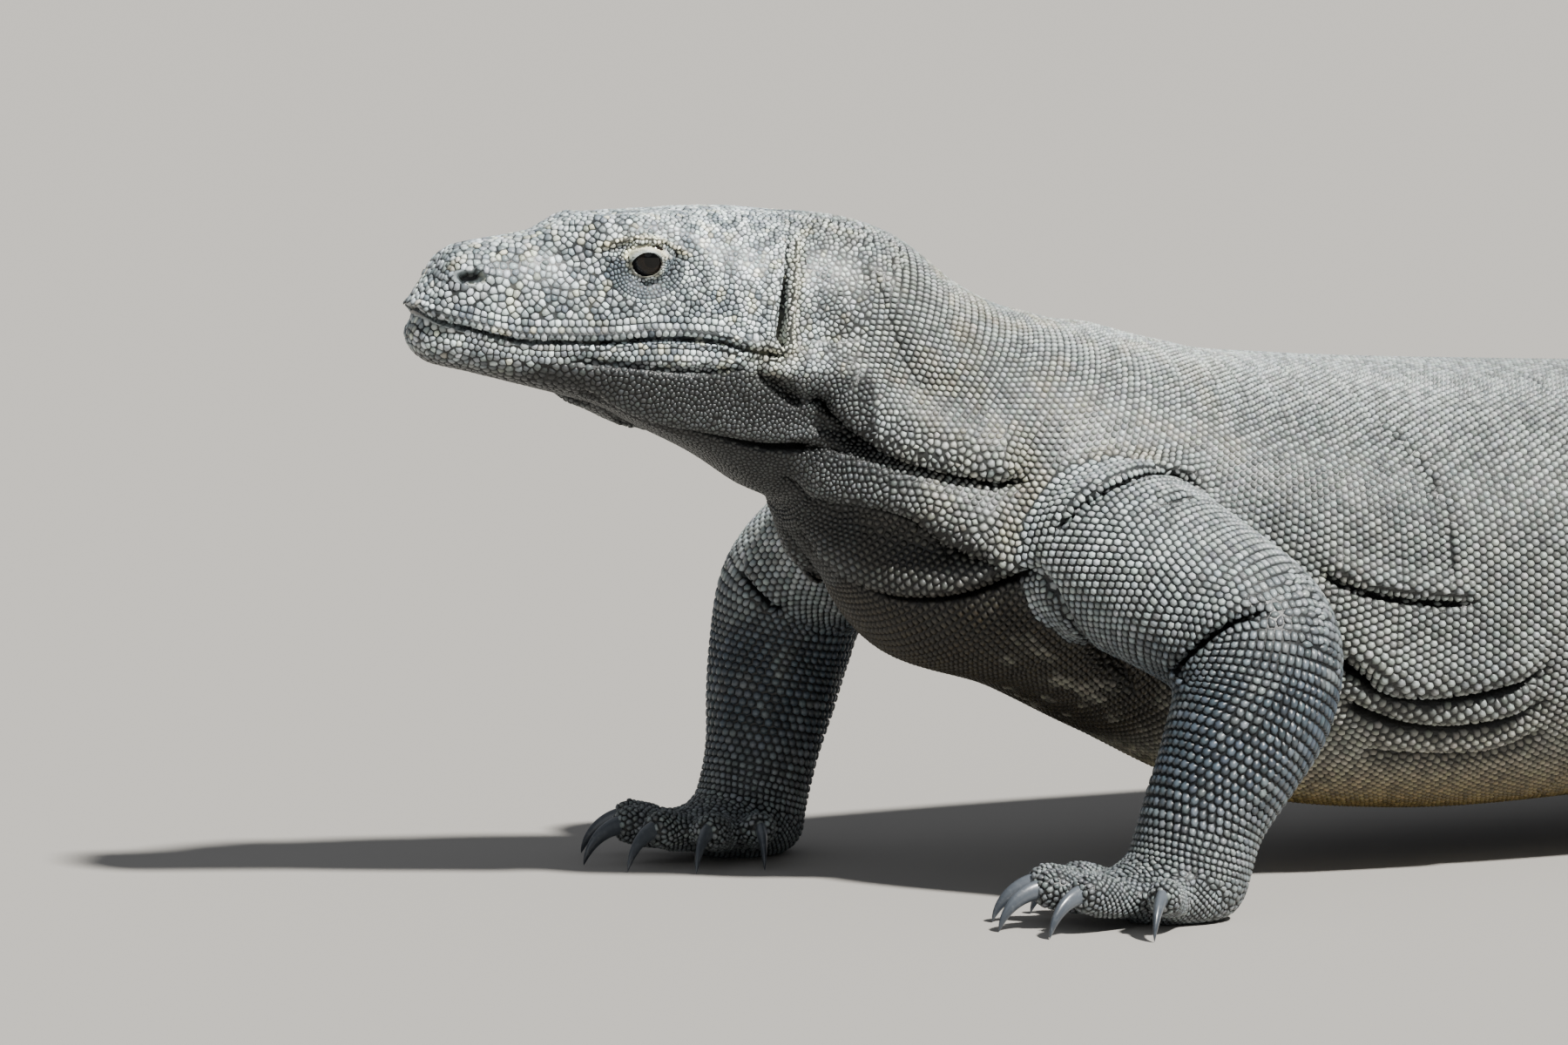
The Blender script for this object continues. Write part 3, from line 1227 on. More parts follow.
class Coat:
    """All the scales."""

    darts_per_scale = 9.0    # tries for each scale that a face has room for
    most_darts = 200.0
    cell = 0.004             # side of the search grid's cells
    least_room = 0.42        # nearest that two scales' roots come, as a share of their pitches
    row_room = 0.31          # the same between the rows and plates
    body_reach = 0.016       # furthest that a seed is moved to reach the skin
    limb_reach = 0.010
    plate_reach = 0.012
    deepest = 0.62           # no scale grows where a fold is gloomier

    def __init__(self, skin: Skin, charts: list[Chart]) -> None:
        """Seed the scales over the skin."""
        self.skin, self.charts = skin, charts
        self.points, self.normals = vertices_of(skin.piece)
        self.owner = self.own()
        self.skin_tree = tree_of(self.points)
        self.rng = np.random.default_rng(SEED)

    def own(self) -> Array:
        """Return for each skin vertex the chart that it belongs to."""
        best = np.full(len(self.points), 1e9)
        owner = np.zeros(len(self.points), int)
        for i, chart in enumerate(self.charts):
            rings = chart.form.surface(np.linspace(0, chart.form.length, 40), np.linspace(0, 2 * pi, 24))
            low, high = rings.min(axis=(0, 1)) - 0.025, rings.max(axis=(0, 1)) + 0.025
            near = np.nonzero(((self.points > low) & (self.points < high)).all(axis=1))[0]
            if not len(near):
                continue
            ratio = chart.locate(self.points[near])[3]
            closer = ratio < best[near]
            best[near[closer]] = ratio[closer]
            owner[near[closer]] = i
        return owner

    def project(self, seeds: Seeds, reach: float) -> Seeds:
        """Return the seeds moved to the skin, without those that don't belong there."""
        kept, places = [], []
        for i, point in enumerate(seeds.points):
            spot, _, _, distance = self.skin.tree.find_nearest(point)
            if spot is None or distance > reach:
                continue
            vertex = self.skin_tree.find(spot)[1]
            if self.owner[vertex] == seeds.chart[i]:
                kept.append(i)
                places.append(spot)
        result = seeds.keep(np.array(kept, int))
        result.points = np.array(places)
        return result

    def pitch_at(self, points: Array, chart: Array) -> Array:
        """Return the distance between neighbouring scales at each place."""
        back, side, height = self.skin.head.locate(points).T
        x = points[:, 0] - self.skin.head.shift[0]
        z = points[:, 2]
        along_body = np.interp(x, (-0.02, 0.03, 0.10, 0.45, 0.80, 1.15, 1.7, 2.3),
                               (0.0028, 0.0035, 0.0042, 0.0048, 0.0054, 0.0070, 0.0070, 0.0050))
        head = np.interp(back, (0.0, 0.05, 0.10, 0.14, 0.20, 0.24),
                         (0.0034, 0.0037, 0.0031, 0.0026, 0.0025, 0.0027))
        head *= 1.0 - 0.12 * (1.0 - ramp(0.270, 0.292, height))
        eye = self.skin.head.eye_share(np.column_stack([back, side, height]))
        small = np.interp(eye, (0.0, 2.2, 3.3, 3.8), (0.0016, 0.0020, 0.0028, 1.0))
        head = np.minimum(np.where(np.abs(side) > self.skin.head.eye_out, small, 1.0), head)
        pitch = np.where(x < -0.02, head, along_body)
        limb = chart > 0
        leg = np.interp(z, (0.0, 0.026, 0.034, 0.05, 0.09, 0.13, 0.20),
                        (0.0036, 0.0036, 0.0038, 0.0050, 0.0055, 0.0047, 0.0042))
        hind = (chart > 2 * LEG_CHARTS) & (z > 0.034)
        return np.where(limb, leg * np.where(hind, 1.20, 1.0), pitch)

    def row_seeds(self, index: int) -> Seeds:
        """Return seeds in rings along one form, those of a ring set between those of the last."""
        chart = self.charts[index]
        form = chart.form
        lengths, at = [], (0.236 if index == 0 else 0.004)
        while at < form.length - 0.002:
            lengths.append(at)
            centre = form.curve(np.array([at]))[:, :3]
            scute = 0.56 if chart.form.length < 0.12 else 0.90
            at += scute * float(self.pitch_at(centre, np.array([index]))[0])
        lengths = np.array(lengths)
        centres = form.curve(lengths)[:, :3]
        pitch = self.pitch_at(centres, np.full(len(lengths), index))
        step = 6 if index == 0 else 1
        broad = 1.15 if chart.form.length < 0.12 else 1.0
        counts = np.maximum(np.round(form.girth(lengths) / pitch / broad / step), 1).astype(int) * step
        counts = np.maximum(counts, 6)
        offset = np.where(np.arange(len(lengths)) % 2, 0.5, 0.0)
        rows, angles = form.even_angles(lengths, counts, offset)
        rings = [form.surface(lengths[i:i + 1], angles[rows == i])[0] for i in range(len(lengths))]
        axis = form.frames(lengths)[1][rows]
        return Seeds(np.concatenate(rings), axis, pitch[rows], np.full(len(rows), index))

    def darts(self, wanted: Array) -> tuple[Array, Array]:
        """Return places thrown at random over the chosen vertices' faces, and each one's chart."""
        mesh = self.skin.piece.data
        corners = np.array([(*face.vertices, face.vertices[0])[:4] for face in mesh.polygons])
        areas = np.array([face.area for face in mesh.polygons])
        chosen = np.nonzero(wanted[corners[:, :3]].all(axis=1))[0]
        first = corners[chosen, 0]
        pitch = self.pitch_at(self.points[first], self.owner[first])
        wished = areas[chosen] / pitch ** 2 * self.darts_per_scale
        tries = self.rng.poisson(np.minimum(wished, self.most_darts))
        quads = np.repeat(corners[chosen], tries, axis=0)
        u, v = self.rng.random((2, len(quads)))[..., None]
        a, b, c, d = (self.points[quads[:, k]] for k in range(4))
        return (a * (1 - u) + b * u) * (1 - v) + (d * (1 - u) + c * u) * v, self.owner[quads[:, 0]]

    def scatter(self, wanted: Array, taken: Seeds) -> Seeds:
        """Fill the chosen vertices' skin with seeds at their own pitch, away from those already there."""
        spots, owner = self.darts(wanted)
        sizes = self.pitch_at(spots, owner)
        grid: dict = {}
        for point, size in zip(taken.points, taken.pitch):
            grid.setdefault(tuple((point // self.cell).astype(int)), []).append((*point, size))
        keys = (spots // self.cell).astype(int).tolist()
        around = list(product((-1, 0, 1), repeat=3))

        def crowded(x: float, y: float, z: float, size: float, i: int, j: int, k: int) -> bool:
            """Return whether a kept seed lies too near."""
            for di, dj, dk in around:
                for px, py, pz, other in grid.get((i + di, j + dj, k + dk), ()):
                    room = self.least_room * (size + other)
                    if (px - x) ** 2 + (py - y) ** 2 + (pz - z) ** 2 < room * room:
                        return True
            return False

        kept = []
        for n in self.rng.permutation(len(spots)):
            spot = (*spots[n], sizes[n])
            if not crowded(*spot, *keys[n]):
                kept.append(n)
                grid.setdefault(tuple(keys[n]), []).append(spot)
        lies = np.tile([1.0, 0.0, 0.0], (len(kept), 1))
        return Seeds(spots[kept], lies, sizes[kept], owner[kept])

    def lip_seeds(self) -> Seeds:
        """Return the rows of plates along both lips."""
        head = self.skin.head
        points, lies, sizes = [], [], []
        for row, (lift, size, end) in enumerate((
            (0.0028, 0.0038, 0.186), (0.0064, 0.0038, 0.178), (0.0100, 0.0036, 0.160),
            (-0.0044, 0.0030, 0.080), (-0.0074, 0.0034, 0.176), (-0.0106, 0.0034, 0.172),
        )):
            backs = np.arange(0.008 + (row % 2) * size / 2, end, size)
            heights = head.mouth_line(backs) + lift
            for sign in (-1, 1):
                for back, height in zip(backs, heights):
                    half = np.interp(back, [s[0] for s in head.sections], [s[1] for s in head.sections])
                    grown = np.sqrt(max(1 - (1 - min(back / head.rounding, 1.0)) ** 2, 0.05))
                    points.append(head.point(back, sign * half * grown, height))
                    lies.append(head.axes()[0])
                    sizes.append(size)
        return Seeds(np.array(points), np.array(lies), np.array(sizes), np.zeros(len(points), int))

    def eye_seeds(self) -> Seeds:
        """Return the rings of granules round the eyes."""
        head = self.skin.head
        points, lies, sizes = [], [], []
        for ring, (grow, size) in enumerate((
            (1.34, 0.0017), (1.66, 0.0018), (1.99, 0.0019), (2.34, 0.0021), (2.73, 0.0023), (3.16, 0.0026),
        )):
            long, tall = head.opening[2] * grow, head.opening[3] * grow
            count = int(2 * pi * (long + tall) / 2 / size)
            for sign in (-1, 1):
                for i in range(count):
                    turn = 2 * pi * (i + 0.5 * (ring % 2)) / count
                    if sin(turn) > 0.30 and grow > 1.4:
                        continue
                    back, height = head.opening[0] + long * cos(turn), head.opening[1] + tall * sin(turn)
                    points.append(head.point(back, sign * 0.0465, height))
                    rear, _ = head.axes()
                    lies.append(-rear * sin(turn) + np.array([0, 0, 1.0]) * cos(turn))
                    sizes.append(size)
        return Seeds(np.array(points), np.array(lies), np.array(sizes), np.zeros(len(points), int))

    def bare(self, points: Array) -> Array:
        """Return where no scale grows: the eyes, nostrils, ears, and the seam and wet edge of the mouth."""
        head = self.skin.head
        places = head.locate(points)
        back, side, height = places.T
        e = head.eye_share(places)
        over = (height > 0.3490) & (height < 0.3556 - 40.0 * (back - 0.1215) ** 2) & (e < 2.6)
        eye = ((e < 1.22) | over) & (np.abs(side) > head.eye_out)
        nose = (head.nostril_share(back, height, below=0.0041) < 1.34) & (np.abs(side) > head.nose_out)
        gape = np.interp(height, (0.301, 0.306, 0.337), (0.0008, 0.0017, 0.0005))
        ear = np.abs(back - head.ear_line(height)) < gape
        ear &= (height > 0.301) & (height < 0.337) & (np.abs(side) > head.ear_out)
        d = height - head.mouth_line(back)
        mouth = (d > -0.0026) & (d < 0.0010) & (back < 0.085)
        mouth |= (np.abs(d) < 0.0011) & (back < 0.186)
        mouth |= (np.abs(d) < 0.0034) & (back < 0.0035)
        return eye | nose | ear | mouth

    def grow(self) -> Seeds:
        """Return all the seeds on the skin."""
        rows = Seeds.join([self.project(self.row_seeds(i), self.limb_reach if i else self.body_reach)
                           for i in range(len(self.charts))])
        plates = self.project(Seeds.join([self.lip_seeds(), self.eye_seeds()]), self.plate_reach)
        taken = self.thin(Seeds.join([plates, rows]))
        taken = taken.keep(~self.bare(taken.points))
        fill = self.scatter(~self.bare(self.points) & (self.points[:, 2] > 0.0008), taken)
        fill = fill.keep(~self.bare(fill.points))
        taken, fill = self.shallow(taken), self.shallow(fill)
        log.info("scales: %d in rows, %d plates, %d between", len(rows.points), len(plates.points),
                 len(fill.points))
        return Seeds.join([taken, fill])

    def gloom_at(self, points: Array) -> Array:
        """Return how deep in a fold each place lies."""
        return self.skin.gloom[[self.skin_tree.find(point)[1] for point in points]]

    def shallow(self, seeds: Seeds) -> Seeds:
        """Drop the seeds at the bottom of the folds."""
        return seeds.keep(self.gloom_at(seeds.points) < self.deepest)

    def thin(self, seeds: Seeds) -> Seeds:
        """Drop the seeds that crowd an earlier one."""
        tree = tree_of(seeds.points)
        keep = np.ones(len(seeds.points), bool)
        for i, point in enumerate(seeds.points):
            if not keep[i]:
                continue
            for _, j, distance in tree.find_range(point, 2 * self.row_room * seeds.pitch[i]):
                if j > i and distance < self.row_room * (seeds.pitch[i] + seeds.pitch[j]):
                    keep[j] = False
        return seeds.keep(keep)


@dataclass(frozen=True)
class Cut:
    """How finely a scale is made, and its shape."""

    sides: int
    height: float
    shoulder: float
    shoulder_height: float
    shrink: float
    lean: float


@dataclass(frozen=True)
class Region:
    """A piece of the coat: which seeds it holds, how its scales are cut, and its slot."""

    name: str
    mask: Array
    cut: Cut
    slot: str


def coat_regions(seeds: Seeds, skin: Skin) -> list[Region]:
    """Return the pieces of the coat: both sides of the head, neck and trunk, the tail and the legs."""
    tile = Cut(8, 0.0010, 0.74, 0.80, 1.0, 0.03)
    bead = Cut(8, 0.0017, 0.58, 0.78, 0.98, 0.08)
    plain = Cut(6, 0.0018, 0.58, 0.76, 0.99, 0.14)
    limb = Cut(6, 0.0014, 0.68, 0.78, 1.0, 0.14)
    flat = Cut(6, 0.0009, 0.70, 0.84, 0.99, 0.10)
    neck_start, trunk_start, trunk_middle, tail_start = -0.03, 0.12, 0.46, 0.84
    x = seeds.points[:, 0] - skin.head.shift[0]
    left = seeds.points[:, 1] < skin.middle_line(seeds.points[:, 0])
    body = seeds.chart == 0
    regions = []
    for name, start, end, cut, slot in (
        ("head", -np.inf, neck_start, tile, "head_skin"),
        ("neck", neck_start, trunk_start, bead, "neck_skin"),
        ("trunk_front", trunk_start, trunk_middle, plain, "body_skin"),
        ("trunk_rear", trunk_middle, tail_start, plain, "body_skin"),
    ):
        for side in Side:
            mask = body & (x >= start) & (x < end) & (left == (side is Side.LEFT))
            regions.append(Region(f"scales_{name}_{side.label}", mask, cut, slot))
    regions.append(Region("scales_tail", body & (x >= tail_start), flat, "tail_skin"))
    for index, leg in enumerate(skin.legs):
        first = 1 + index * LEG_CHARTS
        mask = (seeds.chart >= first) & (seeds.chart < first + LEG_CHARTS)
        cut = limb if leg.limb is Limb.FORE else plain
        regions.append(Region(f"scales_{leg.limb.value}leg_{leg.side.label}", mask, cut, "leg_skin"))
    return regions


class ScaleMaker:
    """Turns seeds into joined meshes of scales."""

    neighbours = 9
    turns = 8                        # ways round that a scale's corners are tried
    widest_reach = 0.82              # furthest and nearest corner, as shares of the pitch
    least_reach = 0.2
    buried = 0.0005                  # how far a scale's edge lies under the skin
    drawn_pitch = 0.0045             # the pitch for which the heights of the cuts are given
    lift = 1.22                      # how much paler the scales are than the markings
    light_spread = (0.55, 1.41)      # from the darkest scale to the palest
    hue_spread = (0.96, 1.04)
    shoulder_rim = 0.72              # height of a scale's shoulder, as the finish reads it
    patch_size = 0.0015              # radius of a scale's patch on the map

    def __init__(self, coat: Coat, seeds: Seeds, markings: Markings) -> None:
        """Measure each scale's room between its neighbours."""
        self.coat, self.seeds, self.markings = coat, seeds, markings
        skin = coat.skin
        flat = unit(np.array([skin.tree.find_nearest(point)[1] for point in seeds.points]))
        mean = np.array([coat.normals[coat.skin_tree.find(point)[1]] for point in seeds.points])
        self.normals = unit(0.3 * flat + 0.7 * mean)
        lies = seeds.lies - self.normals * (seeds.lies * self.normals).sum(axis=1)[:, None]
        self.lies = unit(lies + 1e-6)
        self.sides = np.cross(self.normals, self.lies)
        tree = tree_of(seeds.points)
        self.near = np.full((len(seeds.points), self.neighbours), -1)
        for i, point in enumerate(seeds.points):
            found = [j for _, j, _ in tree.find_n(point, self.neighbours + 1) if j != i]
            self.near[i] = found[:self.neighbours]

    def outline(self, chosen: Array, sides: int) -> tuple[Array, Array]:
        """Return the reach of each chosen scale's corners, half way to its neighbours, and their angles.

        The corners are turned to where the room between the neighbours is widest.
        """
        seeds = self.seeds
        near, turns = self.near[chosen], self.turns
        angles = np.arange(sides * turns) * 2 * pi / (sides * turns)
        away = seeds.points[near] - seeds.points[chosen][:, None]
        along_axis = (away * self.lies[chosen][:, None]).sum(axis=2)
        across_axis = (away * self.sides[chosen][:, None]).sum(axis=2)
        share = seeds.pitch[chosen][:, None] / (seeds.pitch[chosen][:, None] + seeds.pitch[near])
        share = np.clip(share, 0.35, 0.65)
        reach = np.repeat(self.widest_reach * seeds.pitch[chosen][:, None], len(angles), axis=1)
        for k in range(near.shape[1]):
            size = np.hypot(along_axis[:, k], across_axis[:, k])
            turn = np.arctan2(across_axis[:, k], along_axis[:, k])
            facing = np.cos(angles[None] - turn[:, None])
            edge = np.where(facing > 0.15, (size * share[:, k])[:, None] / np.maximum(facing, 0.15), 1.0)
            reach = np.minimum(reach, edge)
        reach = np.maximum(reach, self.least_reach * seeds.pitch[chosen][:, None])
        choices = np.stack([(reach[:, start::turns] ** 2).sum(axis=1) for start in range(turns)], axis=1)
        best = choices.argmax(axis=1)
        columns = best[:, None] + np.arange(sides)[None] * turns
        return np.take_along_axis(reach, columns, axis=1), angles[columns]

    def build(self, name: str, chosen: Array, cut: Cut) -> bpy.types.Object:
        """Return one piece of coat.

        Args:
            name: the piece's name.
            chosen: which seeds it holds.
            cut: the shape of its scales.

        Returns:
            The joined scales, dyed and unwrapped.
        """
        seeds, count, sides = self.seeds, len(chosen), cut.sides
        reach, angles = self.outline(chosen, sides)
        reach = reach * cut.shrink
        roots, normals = seeds.points[chosen], self.normals[chosen]
        lies, across = self.lies[chosen], self.sides[chosen]
        way = lies[:, None] * np.cos(angles)[..., None] + across[:, None] * np.sin(angles)[..., None]
        pitch = seeds.pitch[chosen]
        gloom = np.clip(self.coat.gloom_at(roots), 0.0, 1.0)
        height = cut.height * pitch / self.drawn_pitch * (1.0 - 0.5 * gloom)
        outer = roots[:, None] + way * reach[..., None] - normals[:, None] * self.buried
        shift = lies * (cut.lean * pitch)[:, None]
        inner = (roots + shift)[:, None] + way * (reach * cut.shoulder)[..., None] + (
            normals * (height * cut.shoulder_height)[:, None])[:, None]
        top = (roots + shift * 1.3 + normals * height[:, None])[:, None]
        points = np.concatenate([outer, inner, top], axis=1)
        k = np.arange(sides)
        j = (k + 1) % sides
        band = np.concatenate([
            np.column_stack([k, j, j + sides]), np.column_stack([k, j + sides, k + sides]),
            np.column_stack([k + sides, j + sides, np.full(sides, 2 * sides)]),
        ])
        size = 2 * sides + 1
        faces = (band[None] + (np.arange(count) * size)[:, None, None]).reshape(-1, 3)
        points[..., 2] = np.maximum(points[..., 2], 0.0)
        piece = new_piece(name, points.reshape(-1, 3), faces)
        self.colour(piece, chosen, sides)
        self.unwrap(piece, chosen, way, reach, faces, sides)
        log.info("%s: %d scales, %d triangles", name, count, len(faces))
        return piece

    def cover(self, region: Region, hide: bpy.types.Material) -> None:
        """Build and dress one region's piece, and fix it to the frame."""
        piece = self.build(region.name, np.nonzero(region.mask)[0], region.cut)
        paint(piece, hide)
        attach(piece, "root")

    def colour(self, piece: bpy.types.Object, chosen: Array, sides: int) -> None:
        """Give each scale its colour, darker round its root."""
        seeds = self.seeds
        limb = (seeds.chart[chosen] > 0).astype(float)
        base = self.markings(seeds.points[chosen], limb, self.coat.gloom_at(seeds.points[chosen]))
        rng = np.random.default_rng(SEED + len(chosen))
        light = rng.uniform(*self.light_spread, (len(chosen), 1))
        hue = rng.uniform(*self.hue_spread, (len(chosen), 3))
        rim = np.concatenate([np.zeros(sides), np.full(sides, self.shoulder_rim), [1.0]])
        dye(piece, np.repeat(self.lift * base * light * hue, len(rim), axis=0), np.tile(rim, len(chosen)))

    def unwrap(self, piece: bpy.types.Object, chosen: Array, way: Array, reach: Array, faces: Array,
               sides: int) -> None:
        """Lay each scale as a small patch at its root's place on the skin's own map."""
        seeds = self.seeds
        at = np.zeros((len(chosen), 2))
        for i, chart in enumerate(self.coat.charts):
            mine = seeds.chart[chosen] == i
            if mine.any():
                at[mine] = chart.uv(*chart.shares(seeds.points[chosen][mine]))
        angles = np.arange(sides) * 2 * pi / sides
        disc = np.column_stack([np.cos(angles), np.sin(angles)])
        patch = np.concatenate([disc, disc * 0.55, [[0.0, 0.0]]]) * self.patch_size
        places = (at[:, None] + patch[None]).reshape(-1, 2)
        layer = piece.data.uv_layers.new(name="OFBake")
        layer.data.foreach_set("uv", places[faces.ravel()].astype(np.float32).ravel())


def unwrap_skin(skin: Skin, coat: Coat) -> None:
    """Lay the skin's faces on its own map, each by the chart of its first corner."""
    mesh = skin.piece.data
    points, _ = vertices_of(skin.piece)
    loops = np.empty(len(mesh.loops), int)
    mesh.loops.foreach_get("vertex_index", loops)
    starts, totals = np.empty(len(mesh.polygons), int), np.empty(len(mesh.polygons), int)
    mesh.polygons.foreach_get("loop_start", starts)
    mesh.polygons.foreach_get("loop_total", totals)
    owner = np.repeat(coat.owner[loops[starts]], totals)
    first = np.repeat(starts, totals)
    uv = np.zeros((len(loops), 2))
    for i, chart in enumerate(coat.charts):
        mine = np.nonzero(owner == i)[0]
        if not len(mine):
            continue
        corners, place = np.unique(loops[mine], return_inverse=True)
        run, turn = chart.shares(points[corners])
        run, turn = run[place], turn[place]
        whole = np.zeros(len(loops))
        whole[mine] = turn
        lead = whole[first[mine]]
        turn = turn + np.round(lead - turn)
        uv[mine] = chart.uv(run, np.clip(turn, -0.02, 1.02))
    layer = mesh.uv_layers.new(name="OFBake")
    layer.data.foreach_set("uv", uv.astype(np.float32).ravel())


# ---------------------------------------------------------------- finishes


class Value:
    """A number that changes over a surface: a socket with arithmetic."""

    def __init__(self, shader: "Shader", socket: bpy.types.NodeSocket) -> None:
        """Wrap the socket."""
        self.shader, self.socket = shader, socket

    def math(self, operation: str, first: object, second: object) -> "Value":
        """Add a Math node."""
        node = self.shader.add("ShaderNodeMath", {"operation": operation}, {0: first, 1: second})
        return Value(self.shader, node.outputs[0])

    def __add__(self, other: object) -> "Value":
        """Return the sum."""
        return self.math("ADD", self, other)

    def __mul__(self, other: object) -> "Value":
        """Return the product."""
        return self.math("MULTIPLY", self, other)


class Shader:
    """A material under construction."""

    def __init__(self, name: str) -> None:
        """Start a Principled material."""
        self.material = bpy.data.materials.new(name)
        self.material.use_nodes = True
        self.tree = self.material.node_tree
        self.surface = self.tree.nodes["Principled BSDF"]

    def add(self, kind: str, settings: dict, values: dict) -> bpy.types.Node:
        """Add a node, set it, then fill or link its sockets."""
        node = self.tree.nodes.new(kind)
        for key, value in settings.items():
            setattr(node, key, value)
        for key, value in values.items():
            self.link(node.inputs[key], value)
        return node

    def link(self, socket: bpy.types.NodeSocket, value: object) -> None:
        """Give a socket a value or a link."""
        if isinstance(value, Value):
            self.tree.links.new(value.socket, socket)
        elif isinstance(value, bpy.types.NodeSocket):
            self.tree.links.new(value, socket)
        else:
            socket.default_value = value

    def set(self, **values: object) -> "Shader":
        """Set sockets of the surface, named with underscores for spaces."""
        for key, value in values.items():
            self.link(self.surface.inputs[key.replace("_", " ")], value)
        return self

    def place(self) -> bpy.types.NodeSocket:
        """Return object coordinates."""
        return self.add("ShaderNodeTexCoord", {}, {}).outputs["Object"]

    def noise(self, scale: float, detail: float = 2.0) -> Value:
        """Return fractal noise over the object."""
        node = self.add("ShaderNodeTexNoise", {}, {"Vector": self.place(), "Scale": scale, "Detail": detail})
        return Value(self, node.outputs["Fac"])

    def attribute(self, name: str, output: str) -> bpy.types.NodeSocket:
        """Return an attribute of the mesh."""
        return self.add("ShaderNodeAttribute", {"attribute_name": name}, {}).outputs[output]

    def blend(self, share: object, first: object, second: object, mode: str = "MIX") -> bpy.types.NodeSocket:
        """Return two colours mixed."""
        node = self.add("ShaderNodeMix", {"data_type": "RGBA", "blend_type": mode},
                        {"Factor": share, 6: first, 7: second})
        return node.outputs[2]

    def ramp(self, value: Value, low: float, high: float) -> Value:
        """Return a value stretched so that low is 0 and high is 1."""
        node = self.add("ShaderNodeMapRange", {"interpolation_type": "SMOOTHSTEP"},
                        {"Value": value, "From Min": low, "From Max": high})
        return Value(self, node.outputs[0])

    def bump(self, height: Value, strength: float, distance: float) -> bpy.types.NodeSocket:
        """Return a normal raised by a height."""
        return self.add("ShaderNodeBump", {}, {"Height": height, "Strength": strength, "Distance": distance}
                        ).outputs["Normal"]


@dataclass(frozen=True)
class Finish:
    """A hide's gloss and grain."""

    name: str
    roughness: float
    grain: float
    relief: float
    coat: float = 0.0

    def make(self) -> bpy.types.Material:
        """Return the material."""
        shader = Shader(self.name)
        tint = shader.attribute("tint", "Color")
        rim = Value(shader, shader.attribute("rim", "Fac"))
        dust = shader.noise(self.grain, 3.0)
        fine = shader.noise(self.grain * 3.5, 2.0)
        shade = shader.ramp(rim, 0.05, 1.0) * 0.89 + 0.11
        colour = shader.blend(1.0, tint, shader.blend(shade, (0, 0, 0, 1), (1, 1, 1, 1)), "MULTIPLY")
        colour = shader.blend(shader.ramp(dust, 0.40, 0.75) * 0.30, colour,
                              shader.blend(1.0, colour, (0.45, 0.44, 0.42, 1), "MULTIPLY"))
        shader.set(Base_Color=colour, Roughness=fine * 0.25 + self.roughness, Specular_IOR_Level=0.35,
                   Coat_Weight=rim * self.coat, Coat_Roughness=0.28,
                   Normal=shader.bump(fine, 0.35, self.relief))
        return shader.material


def paint(piece: bpy.types.Object, material: bpy.types.Material) -> None:
    """Give a piece one material."""
    piece.data.materials.clear()
    piece.data.materials.append(material)


# ---------------------------------------------------------------- eyes and claws


class Eye:
    """An eye: a fine ball in the place of the frame's, with an iris, a pupil and a wet gloss."""

    def __init__(self, side: Side, head: Head) -> None:
        """Build and dress one eye."""
        sign = side.value
        back, out, height = head.eye
        centre = head.point(back, out * sign, height)
        rear, right = head.axes()
        gaze = unit(-0.20 * rear + right * sign + np.array([0.0, 0.0, -0.10]))
        piece = self.ball(f"eyeball_{side.label}", centre, head.eye_radius)
        shader = Shader(f"eye_{side.label}")
        spot = shader.add("ShaderNodeVectorMath", {"operation": "DISTANCE"},
                          {0: shader.place(), 1: tuple(centre + gaze * head.eye_radius)})
        away = Value(shader, spot.outputs["Value"])
        pupil = shader.ramp(away, 0.0042, 0.0048)
        white = shader.ramp(away, 0.0080, 0.0092)
        iris = shader.blend(shader.ramp(shader.noise(900.0), 0.3, 0.7), (0.006, 0.005, 0.005, 1),
                            (0.018, 0.012, 0.008, 1))
        colour = shader.blend(pupil, (0.002, 0.002, 0.002, 1), iris)
        colour = shader.blend(white, colour, (0.012, 0.013, 0.016, 1))
        shader.set(Base_Color=colour, Roughness=0.05, Specular_IOR_Level=0.30)
        paint(piece, shader.material)
        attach(piece, "root")
        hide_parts(f"eye_{side.label}")
        log.info("%s: built", piece.name)

    @staticmethod
    def ball(name: str, centre: Array, radius: float) -> bpy.types.Object:
        """Return a fine ball at the eye's place."""
        rings, around = 33, 64
        tilt = np.linspace(0.02, pi - 0.02, rings)
        turn = np.linspace(0, 2 * pi, around, endpoint=False)
        grid = np.stack([
            np.outer(np.sin(tilt), np.cos(turn)), -np.outer(np.sin(tilt), np.sin(turn)),
            np.outer(np.cos(tilt), np.ones(around)),
        ], axis=-1) * radius + centre
        return new_piece(name, grid.reshape(-1, 3), loft_faces(rings, around))


